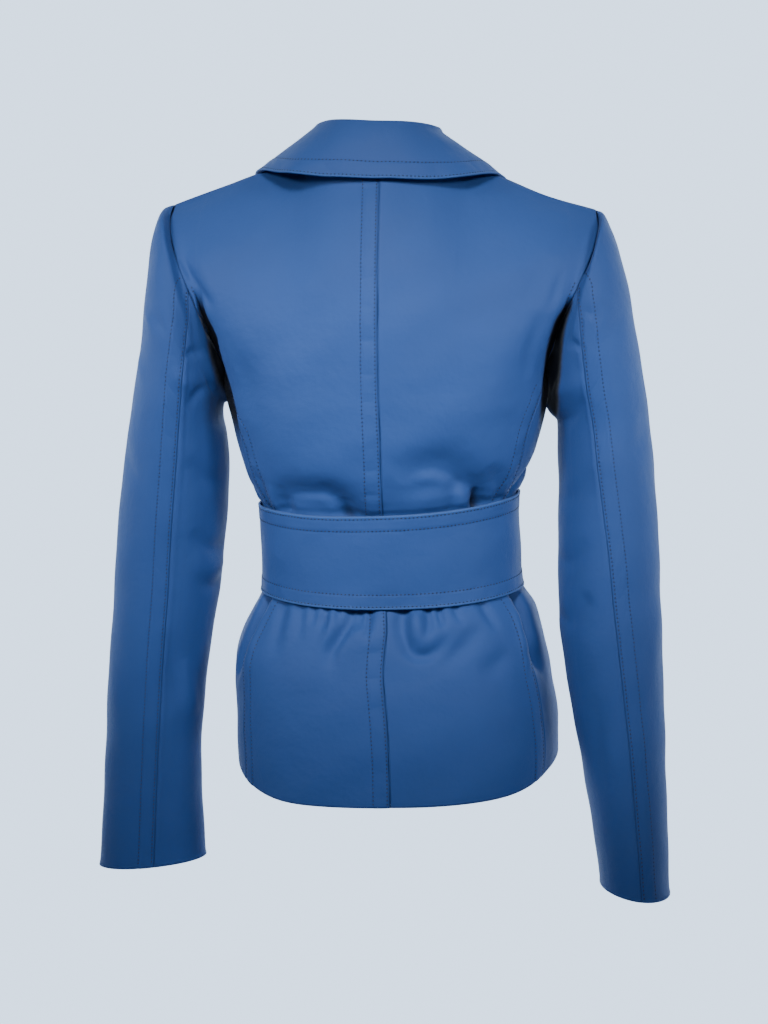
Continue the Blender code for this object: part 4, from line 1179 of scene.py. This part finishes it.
def cloth_piece(name, sheet, thickness, nodes):
    """One cut piece of cloth as a shell under a sheet's points, in place of its solids."""
    rows, columns = sheet.points.shape[:2]
    bm = bmesh.new()
    bmesh.ops.create_grid(bm, x_segments=columns - 1, y_segments=rows - 1, size=1.0)
    if sheet.turned:
        bmesh.ops.reverse_faces(bm, faces=bm.faces[:])
    piece = added(name, bm, shared_material("blue cotton satin", cotton_material))
    mesh = piece.data
    spots = np.empty(rows * columns * 3)
    mesh.vertices.foreach_get("co", spots)
    spots = spots.reshape(-1, 3)
    column = np.rint((spots[:, 0] + 1) / 2 * (columns - 1)).astype(int)
    row = np.rint((spots[:, 1] + 1) / 2 * (rows - 1)).astype(int)
    mesh.vertices.foreach_set("co", sheet.points[row, column].ravel())
    for attribute, values in (("raised", sheet.raised), ("shade", sheet.shade)):
        layer = mesh.attributes.new(attribute, "FLOAT", "POINT")
        layer.data.foreach_set("value", values[row, column].astype(np.float32))
    cut = np.stack([running(sheet.flat, 1), running(sheet.flat, 0)], axis=-1)[row, column]
    corners = np.empty(len(mesh.loops), dtype=np.int32)
    mesh.loops.foreach_get("vertex_index", corners)
    mesh.uv_layers.new(name="cut").data.foreach_set("uv", cut[corners].ravel())
    mesh.update()
    mesh.shade_smooth()
    shell = piece.modifiers.new("Cloth wall", "SOLIDIFY")
    shell.thickness = thickness
    shell.offset = -1.0
    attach(piece, BODY)
    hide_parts(*nodes)
    width, length, area = sheet.size()
    SHEETS[name] = sheet


def body_rows(yoke=True):
    steps = (SKIRT_STEPS, WAIST_STEPS, BLOUSE_STEPS) + ((YOKE_STEPS,) if yoke else ())
    return spread(steps, BODY_ROW_PARTS)


def torso_sheet(form, columns, yoke=True):
    """A body panel's fine sheet, with its folds."""
    grid = refined(form, body_rows(yoke), columns)
    points, shade = gaped(grid[..., :3])
    middle = points * (0, 0, 1)
    sheet = Sheet(points, points - np.minimum(middle, (0, 0, AXIS_TOP)))
    lift = torso_fold_lift(grid[..., ANGLE], grid[..., HEIGHT])
    sheet.lift(lift)
    # Painted shade in the deepest fold troughs, on top of the gap's
    sheet.shade = np.maximum(shade, FOLD_SHADE * step(-lift, *FOLD_SHADE_DEPTHS))
    return sheet


class BlazerClothSettings(bpy.types.PropertyGroup):
    cloth_colour: bpy.props.FloatVectorProperty(
        name="Cloth colour", description="Dye of the cotton", subtype="COLOR",
        default=(0.0262, 0.0725, 0.2500))
    # Paler cotton on raised seams and rims: rubbed wear plus painted highlight
    worn_and_highlight_colour: bpy.props.FloatVectorProperty(
        name="Ridge colour", description="Paler cotton on raised seams", subtype="COLOR",
        default=(0.0700, 0.1900, 0.5000))
    # Dark enough to stand for the thread plus painted shade of its needle holes
    thread_and_hole_shade_colour: bpy.props.FloatVectorProperty(
        name="Thread colour", description="Dye of the sewing thread", subtype="COLOR",
        default=(0.0045, 0.0150, 0.0550))
    cloth_thickness: bpy.props.FloatProperty(
        name="Cloth thickness", description="Wall of one layer of cloth", unit="LENGTH", default=0.0011)
    belt_thickness: bpy.props.FloatProperty(
        name="Belt thickness", description="Wall of the lined belt", unit="LENGTH", default=0.0024)
    roughness: bpy.props.FloatProperty(
        name="Roughness", description="Lowest roughness of the cotton", default=0.52)
    sheen: bpy.props.FloatProperty(name="Sheen", description="Soft gleam at grazing angles", default=0.06)
    weave_scale: bpy.props.FloatProperty(
        name="Weave scale", description="Twill bands across a metre, in wave units", default=420.0)
    crumple: bpy.props.FloatProperty(
        name="Crumple", description="Bump of small uneven creases", default=0.55)
    weave_strength: bpy.props.FloatProperty(
        name="Weave strength", description="Bump of the weave", default=0.35)


class BlazerStitchSettings(bpy.types.PropertyGroup):
    pitch: bpy.props.FloatProperty(
        name="Pitch", description="Distance from stitch to stitch", unit="LENGTH", default=0.0035)
    # Stitch sizes take in the painted shade of the needle holes as well as the thread
    length: bpy.props.FloatProperty(
        name="Length", description="Thread that shows of a stitch", unit="LENGTH", default=0.0020)
    thickness: bpy.props.FloatProperty(
        name="Width", description="Width of the flattened thread", unit="LENGTH", default=0.0013)
    edge_row: bpy.props.FloatProperty(
        name="Edge row", description="First row from the seam or edge", unit="LENGTH", default=0.0022)
    seam_row: bpy.props.FloatProperty(
        name="Seam row", description="Second row from a seam", unit="LENGTH", default=0.0145)
    armhole_row: bpy.props.FloatProperty(
        name="Armhole row", description="Short row beside the back armhole", unit="LENGTH", default=0.0040)
    belt_row: bpy.props.FloatProperty(
        name="Belt row", description="Second row from the belt's edge", unit="LENGTH", default=0.0128)
    collar_row: bpy.props.FloatProperty(
        name="Collar row", description="Second row from the collar's edge", unit="LENGTH", default=0.0150)


class BlazerStageSettings(bpy.types.PropertyGroup):
    floor_colour: bpy.props.FloatVectorProperty(
        name="Paper colour", description="Lit paper round the garment", subtype="COLOR",
        default=(0.660, 0.805, 1.000))
    floor_drop: bpy.props.FloatProperty(
        name="Floor drop", description="Floor below the lowest cuff", unit="LENGTH", default=0.30)
    sky_colour: bpy.props.FloatVectorProperty(
        name="Sky colour", description="Colour of the light from all round", subtype="COLOR",
        default=(1.000, 0.800, 0.580))
    key_power: bpy.props.FloatProperty(
        name="Key power", description="Watts of the large soft light", default=143.0)
    side_power: bpy.props.FloatProperty(
        name="Side power", description="Watts of a side light, before its share", default=70.0)
    sky_strength: bpy.props.FloatProperty(
        name="Sky strength", description="Light from all round", default=0.11)
    pale: bpy.props.FloatProperty(
        name="Pale", description="Brightness of the floor that is seen", default=2.6)
    pale_colour: bpy.props.FloatVectorProperty(
        name="Pale colour", description="Colour of the floor that is seen", subtype="COLOR",
        default=(0.590, 0.760, 1.000))
    glow: bpy.props.FloatProperty(
        name="Paper glow", description="Light of the lit paper itself", default=1.85)


def rows_of(settings, second):
    return (settings.edge_row, second)


class BLAZER_OT_body(bpy.types.Operator):
    """Back, side and front panels, with folds round the belt and stitched seams"""

    bl_idname = "blazer.body"
    bl_label = "Body panels"

    def execute(self, context):
        cloth, stitch = context.scene.blazer_cloth, context.scene.blazer_stitch
        rows = rows_of(stitch, stitch.seam_row)
        for number, (name, side) in enumerate(SIDES):
            back = torso_sheet(back_form(side), edged(NECK_STEPS + SHOULDER_STEPS, *BACK_COLUMNS))
            soft_wave(back, "back", number)
            seam_dip(back, "inner", "outer")
            stitched_band(back, "outer", rows, "back", number, BAND_TOP)
            if side > 0:
                stitched_band(back, "inner", rows, "centre back")
            flank = torso_sheet(side_form(side), edged(SIDE_STEPS, *SIDE_COLUMNS), yoke=False)
            soft_wave(flank, "side", number)
            seam_dip(flank, "inner", "outer", "top")
            front = torso_sheet(front_form(side), edged(SHOULDER_STEPS, *FRONT_COLUMNS))
            soft_wave(front, "front", number)
            seam_dip(front, "outer")
            free_rim(front, "inner")
            stitched_band(front, "outer", rows, "front", number, BAND_TOP)
            for kind, sheet in (("back", back), ("side", flank), ("front", front)):
                piece = f"{kind}_{name}"
                cloth_piece(f"{piece}_cloth", sheet, cloth.cloth_thickness, [piece])
        return {"FINISHED"}


class BLAZER_OT_sleeves(bpy.types.Operator):
    """Upper and under sleeves, joined by the stitched elbow seam"""

    bl_idname = "blazer.sleeves"
    bl_label = "Sleeves"

    def execute(self, context):
        cloth, stitch = context.scene.blazer_cloth, context.scene.blazer_stitch
        rows = spread((SLEEVE_CAP_STEPS, SLEEVE_STEPS - SLEEVE_CAP_STEPS), SLEEVE_ROW_PARTS)
        drops = (LEFT_ELBOW_DROP, RIGHT_ELBOW_DROP)
        tables = (LEFT_SLEEVE, RIGHT_SLEEVE)
        creases = (LEFT_SLEEVE_FOLDS, RIGHT_SLEEVE_FOLDS)
        seam = YOKE_STEPS + SIDE_STEPS + FRONT_SEAM_STEP_FROM_SIDE
        for number, (name, side) in enumerate(SIDES):
            form = sleeve_form(side, tables[number])
            last = form.shape[1] - 1
            again = form[:, 1 : ELBOW_SEAM_STEP + 2] + (0, 0, 0, 360, 0)
            round_twice = np.concatenate([form, again], axis=1)
            centre = smooth(rows, np.arange(len(form)), form.mean(axis=1))[:, None, :3]
            elbow = ELBOW_SEAM_STEP + smooth(rows, ELBOW_DROP_ROWS, drops[number])
            front = np.full(len(rows), seam)
            for kind, low, high in (("under", elbow, front), ("upper", front, last + elbow)):
                steps = high[-1] - low[-1]
                share = edged(steps, *SLEEVE_COLUMNS) / steps
                grid = refined(round_twice, rows, low[:, None] + (high - low)[:, None] * share)
                points, shade = gaped(grid[..., :3])
                sheet = Sheet(points, points - centre)
                sheet.shade = shade
                turn = np.mod(grid[..., ANGLE], 360)
                sheet.lift(fold_lift(creases[number], turn, grid[..., HEIGHT], SLEEVE_RADIUS))
                soft_wave(sheet, "sleeve", number)
                seam_dip(sheet, "inner", "outer", "bottom")
                if kind == "upper":
                    stitched_band(sheet, "outer", rows_of(stitch, stitch.seam_row), "sleeve", number)
                free_rim(sheet, "top")
                piece = f"{kind}_sleeve_{name}"
                cloth_piece(f"{piece}_cloth", sheet, cloth.cloth_thickness, [piece])
        return {"FINISHED"}


class BLAZER_OT_lapels(bpy.types.Operator):
    """Lapels turned back on the fronts"""

    bl_idname = "blazer.lapels"
    bl_label = "Lapels"

    def execute(self, context):
        cloth, stitch = context.scene.blazer_cloth, context.scene.blazer_stitch
        up, out = np.linspace(0, 1, LAPEL_ROWS), np.linspace(0, 1, LAPEL_COLUMNS)
        for (name, side), table in zip(SIDES, (LEFT_LAPEL, RIGHT_LAPEL)):
            front = SHEETS[f"front_{name}_cloth"].points
            tree = surface_tree([front])
            lines = through(table, up)
            roll_x = side * np.interp(lines[:, 0], front[:, 0, 2], front[:, 0, 0]) + LAPEL_INSET
            points = np.zeros((len(up), len(out), 3))
            for row, (roll_z, edge_x, edge_z) in enumerate(lines):
                for column, share in enumerate(out):
                    x = side * (roll_x[row] + share * (edge_x - roll_x[row]))
                    z = roll_z + share * (edge_z - roll_z)
                    hit, normal, _, _ = tree.ray_cast(Vector((x, LAPEL_RAY_START, z)), Vector((0, 1, 0)))
                    if hit is None:
                        hit, normal, _, _ = tree.find_nearest(Vector((x, CHEST_FRONT, z)))
                    normal = -normal if normal.y > 0 else normal
                    lift = LAPEL_LIFT + LAPEL_PUFF * math.sin(math.pi * share)
                    points[row, column] = np.array(hit + normal * lift)
            sheet = Sheet(points, np.array((0.0, -1.0, 0.0)))
            free_rim(sheet, "outer", "top")
            stitched_band(sheet, "outer", rows_of(stitch, stitch.collar_row), "lapel")
            piece, under = f"lapel_{name}", [f"front_{name}_cloth"]
            cloth_piece(f"{piece}_cloth", sheet, cloth.cloth_thickness, [piece])
        return {"FINISHED"}


class BLAZER_OT_collar(bpy.types.Operator):
    """Collar with its stand, roll and stitched fall"""

    bl_idname = "blazer.collar"
    bl_label = "Collar"

    def execute(self, context):
        cloth, stitch = context.scene.blazer_cloth, context.scene.blazer_stitch
        thin = slice(None, None, COLLAR_PANEL_THINNING)
        names = [f"{kind}_{name}_cloth" for name, _ in SIDES for kind in ("back", "front")]
        form = collar_form(surface_tree([SHEETS[name].points[thin, thin] for name in names]))
        rows = spread((2 * COLLAR_STEPS,), (COLLAR_ROW_PARTS,))
        grid = refined(form, rows, spread(*COLLAR_COLUMNS))
        normals = grid_normals(grid)
        sheet = Sheet(grid, normals * np.sign(normals[len(grid) // 2, COLLAR_ROLL_COLUMN, 2]))
        soft_wave(sheet, "collar")
        stitched_band(sheet, "outer", rows_of(stitch, stitch.collar_row), "collar")
        free_rim(sheet, "outer")
        thickness = COLLAR_LAYERS * cloth.cloth_thickness
        cloth_piece("collar_cloth", sheet, thickness, ["collar"])
        return {"FINISHED"}


class BLAZER_OT_belt(bpy.types.Operator):
    """Wide belt, stitched twice along each edge, its ends lapped at the front"""

    bl_idname = "blazer.belt"
    bl_label = "Belt"

    def execute(self, context):
        cloth, stitch = context.scene.blazer_cloth, context.scene.blazer_stitch
        last = 180 + BELT_HALF_LAP_ANGLE
        angles = np.linspace(last, -last, BELT_COLUMNS)
        over_lap = LAP_LIFT * step(np.abs(angles), *BELT_OVER_LAP_ANGLES)
        over_end = (BELT_CLOTH + LAYER_GAP) * step(-angles, *BELT_RISE_ANGLES)
        low, high = BELT_BOTTOM + BELT_EDGE, BELT_TOP - BELT_EDGE
        heights = np.concatenate([
            np.linspace(BELT_BOTTOM, low, BELT_EDGE_ROWS),
            np.linspace(low, high, BELT_MIDDLE_ROWS)[1:-1],
            np.linspace(high, BELT_TOP, BELT_EDGE_ROWS),
        ])[:, None]
        out = LAYER_GAP + over_lap + over_end + cloth.belt_thickness - BELT_DRAW
        grid = torso(1, angles[None], heights, out[None])[..., :3]
        share = ((heights - BELT_BOTTOM) / (BELT_TOP - BELT_BOTTOM))[..., None]
        straight = (1 - share) * grid[:1] + share * grid[-1:]
        grid[..., :2] += BELT_STRAIGHT * (straight - grid)[..., :2]
        sheet = Sheet(grid, grid * (1, 1, 0))
        soft_wave(sheet, "belt")
        for edge, kind in (("bottom", "lower belt"), ("top", "upper belt")):
            stitched_band(sheet, edge, rows_of(stitch, stitch.belt_row), kind)
            free_rim(sheet, edge)
        free_rim(sheet, "outer")
        cloth_piece("belt_cloth", sheet, cloth.belt_thickness, ["belt"])
        return {"FINISHED"}


def lay_stitches(whole, points, normals, settings):
    """Stitches one after another along a line on the cloth."""
    run = running(points, 0)
    places = np.arange(settings.pitch, run[-1] - settings.pitch, settings.pitch)
    at, ahead = between(places, run, points), between(places + settings.pitch / 4, run, points)
    up = unit(between(places, run, normals))
    line = bmesh.new()
    scale = Matrix.Diagonal((settings.length / 2, settings.thickness / 2, settings.thickness / 4, 1.0))
    for place, normal, front in zip(at, up, ahead):
        way = Vector(front - place).normalized()
        across = Vector(normal).cross(way).normalized()
        turn = Matrix((way, across, way.cross(across))).transposed().to_4x4()
        spot = Matrix.Translation(Vector(place + normal * settings.thickness * STITCH_RAISE))
        bmesh.ops.create_icosphere(line, subdivisions=1, radius=1.0, matrix=spot @ turn @ scale)
    mesh = bpy.data.meshes.new("stitch line")
    line.to_mesh(mesh)
    line.free()
    whole.from_mesh(mesh)
    bpy.data.meshes.remove(mesh)


class BLAZER_OT_topstitching(bpy.types.Operator):
    """Rows of stitches along the seams, the collar, the lapels and the belt"""

    bl_idname = "blazer.topstitching"
    bl_label = "Topstitching"

    def execute(self, context):
        stitch = context.scene.blazer_stitch
        seams = rows_of(stitch, stitch.seam_row)
        falls = rows_of(stitch, stitch.collar_row)
        belts = rows_of(stitch, stitch.belt_row)
        everywhere, below, beside = (-1.0, 1.0), (-1.0, BAND_TOP), ARMHOLE_ROW_HEIGHTS
        work = {
            "body_stitching": [
                ("back_left_cloth", "inner", seams, everywhere),
                *((f"{kind}_{name}_cloth", "outer", seams, below)
                  for name, _ in SIDES for kind in ("back", "front")),
                *((f"back_{name}_cloth", "outer", (stitch.armhole_row,), beside) for name, _ in SIDES),
            ],
            "sleeve_stitching": [
                (f"upper_sleeve_{name}_cloth", "outer", seams, everywhere) for name, _ in SIDES
            ],
            "collar_stitching": [
                ("collar_cloth", "outer", falls, everywhere),
                *((f"lapel_{name}_cloth", "outer", falls, everywhere) for name, _ in SIDES),
            ],
            "belt_stitching": [("belt_cloth", edge, belts, everywhere) for edge in ("bottom", "top")],
        }
        thread = shared_material("blue sewing thread and painted hole shade", thread_and_hole_shade_material)
        for name, lines in work.items():
            whole = bmesh.new()
            for sheet, edge, rows, (low, high) in lines:
                for row in rows:
                    points, normals = SHEETS[sheet].row_at(edge, row)
                    kept = (points[:, 2] > low) & (points[:, 2] < high)
                    lay_stitches(whole, points[kept], normals[kept], stitch)
            piece = added(name, whole, thread)
            piece.data.shade_smooth()
            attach(piece, BODY)
        return {"FINISHED"}


class BLAZER_OT_stage(bpy.types.Operator):
    """Pale floor and backdrop, soft studio light and the photograph's camera"""

    bl_idname = "blazer.stage"
    bl_label = "Stage"

    def execute(self, context):
        settings = context.scene.blazer_stage
        floor = CAD_BOX[0][2] - settings.floor_drop
        self.paper(settings, floor)
        self.bowl(settings, floor)
        for light in LIGHTS:
            self.lamp(context, light, light.share * getattr(settings, light.setting))
        self.sky(context, settings)
        self.camera(context)
        return {"FINISHED"}

    def paper(self, settings, floor):
        """Paper that runs under the garment and curves up into a lit wall. It lights the garment softly,
        and the camera doesn't see it."""
        material = Nodes("pale studio paper")
        tint = colour(settings.floor_colour)
        shine = material.mix(material.attribute("lit"), BLACK, tint)
        columns, rows = SWEEP_SEGMENTS
        bm = bmesh.new()
        bmesh.ops.create_grid(bm, x_segments=columns, y_segments=rows, size=1.0)
        for vert in bm.verts:
            run = (1 - vert.co.y) / 2 * (SWEEP_FLOOR + SWEEP_ARC + SWEEP_WALL)
            bend = min(max(run - SWEEP_FLOOR, 0.0), SWEEP_ARC) / SWEEP_RADIUS
            up = max(run - SWEEP_FLOOR - SWEEP_ARC, 0.0)
            flat = min(run, SWEEP_FLOOR)
            y = SWEEP_START - flat - SWEEP_RADIUS * math.sin(bend)
            z = floor + SWEEP_RADIUS * (1 - math.cos(bend)) + up
            vert.co = (vert.co.x * SWEEP_HALF_WIDTH, y, z)
        paper = added("studio_paper", bm, material.finish(
            Base_Color=tint,
            Roughness=PAPER_ROUGHNESS,
            Emission_Color=shine,
            Emission_Strength=settings.glow,
        ))
        lit = paper.data.attributes.new("lit", "FLOAT", "POINT")
        for spot, vert in zip(lit.data, paper.data.vertices):
            spot.value = float(1 - step(vert.co.y, *SWEEP_LIT))
        paper.visible_camera = False

    def bowl(self, settings, floor):
        """The plain pale floor and the backdrop all round that the camera sees. It gives no light."""
        material = Nodes("pale studio floor")
        columns, rows = BOWL_SEGMENTS
        bm = bmesh.new()
        bmesh.ops.create_uvsphere(bm, u_segments=columns, v_segments=rows, radius=BOWL_RADIUS)
        for vert in bm.verts:
            vert.co.z = max(vert.co.z, floor)
        bowl = added("studio_floor", bm, material.finish(
            Base_Color=BLACK,
            Specular_IOR_Level=0.0,
            Emission_Color=colour(settings.pale_colour),
            Emission_Strength=settings.pale,
        ))
        bowl.data.shade_smooth()
        for ray in ("diffuse", "glossy", "transmission", "volume_scatter", "shadow"):
            setattr(bowl, f"visible_{ray}", False)

    def lamp(self, context, light, power):
        """A soft round light that fades towards the edge of its cone."""
        lamp = bpy.data.lights.new(light.name, "SPOT")
        lamp.energy = power
        lamp.spot_size = math.radians(light.cone)
        lamp.spot_blend = LIGHT_BLEND
        lamp.shadow_soft_size = LIGHT_RADIUS
        holder = bpy.data.objects.new(light.name, lamp)
        holder.location = light.place
        way = Vector(light.aim) - Vector(light.place)
        holder.rotation_euler = way.to_track_quat("-Z", "Y").to_euler()
        context.scene.collection.objects.link(holder)

    def sky(self, context, settings):
        world = bpy.data.worlds.new("Studio")
        world.use_nodes = True
        background = world.node_tree.nodes["Background"]
        background.inputs["Color"].default_value = colour(settings.sky_colour)
        background.inputs["Strength"].default_value = settings.sky_strength
        context.scene.world = world

    def camera(self, context):
        lens = bpy.data.cameras.new("Camera")
        lens.sensor_width = SENSOR_WIDTH
        lens.lens = FOCAL_PIXELS * SENSOR_WIDTH / FRAME_HEIGHT
        eye = bpy.data.objects.new("Camera", lens)
        side, ahead = math.sin(CAMERA_TURN), math.cos(CAMERA_TURN)
        eye.location = (-CAMERA_DISTANCE * side, CAMERA_DISTANCE * ahead, CAMERA_HEIGHT)
        level = math.cos(CAMERA_DIP)
        look = Vector((side * level, -ahead * level, -math.sin(CAMERA_DIP)))
        eye.rotation_euler = look.to_track_quat("-Z", "Y").to_euler()
        context.scene.collection.objects.link(eye)
        context.scene.camera = eye


class BLAZER_PT_looks(bpy.types.Panel):
    bl_label = "Belted Blazer"
    bl_idname = "BLAZER_PT_looks"
    bl_space_type = "VIEW_3D"
    bl_region_type = "UI"
    bl_category = "Blazer"

    def draw(self, context):
        for operator in OPERATORS:
            self.layout.operator(operator.bl_idname)
        for group in ("blazer_cloth", "blazer_stitch", "blazer_stage"):
            settings = getattr(context.scene, group)
            box = self.layout.box()
            for name in settings.__annotations__:
                box.prop(settings, name)


OPERATORS = (
    BLAZER_OT_body,
    BLAZER_OT_sleeves,
    BLAZER_OT_lapels,
    BLAZER_OT_collar,
    BLAZER_OT_belt,
    BLAZER_OT_topstitching,
    BLAZER_OT_stage,
)
CLASSES = (BlazerClothSettings, BlazerStitchSettings, BlazerStageSettings, *OPERATORS, BLAZER_PT_looks)


def register():
    for cls in CLASSES:
        bpy.utils.register_class(cls)
    bpy.types.Scene.blazer_cloth = bpy.props.PointerProperty(type=BlazerClothSettings)
    bpy.types.Scene.blazer_stitch = bpy.props.PointerProperty(type=BlazerStitchSettings)
    bpy.types.Scene.blazer_stage = bpy.props.PointerProperty(type=BlazerStageSettings)


def unregister():
    for group in ("blazer_cloth", "blazer_stitch", "blazer_stage"):
        delattr(bpy.types.Scene, group)
    for cls in reversed(CLASSES):
        bpy.utils.unregister_class(cls)


def main():
    register()
    bpy.ops.blazer.body()
    bpy.ops.blazer.sleeves()
    bpy.ops.blazer.lapels()
    bpy.ops.blazer.collar()
    bpy.ops.blazer.belt()
    bpy.ops.blazer.topstitching()
    bpy.ops.blazer.stage()


if __name__ == "__main__":
    main()
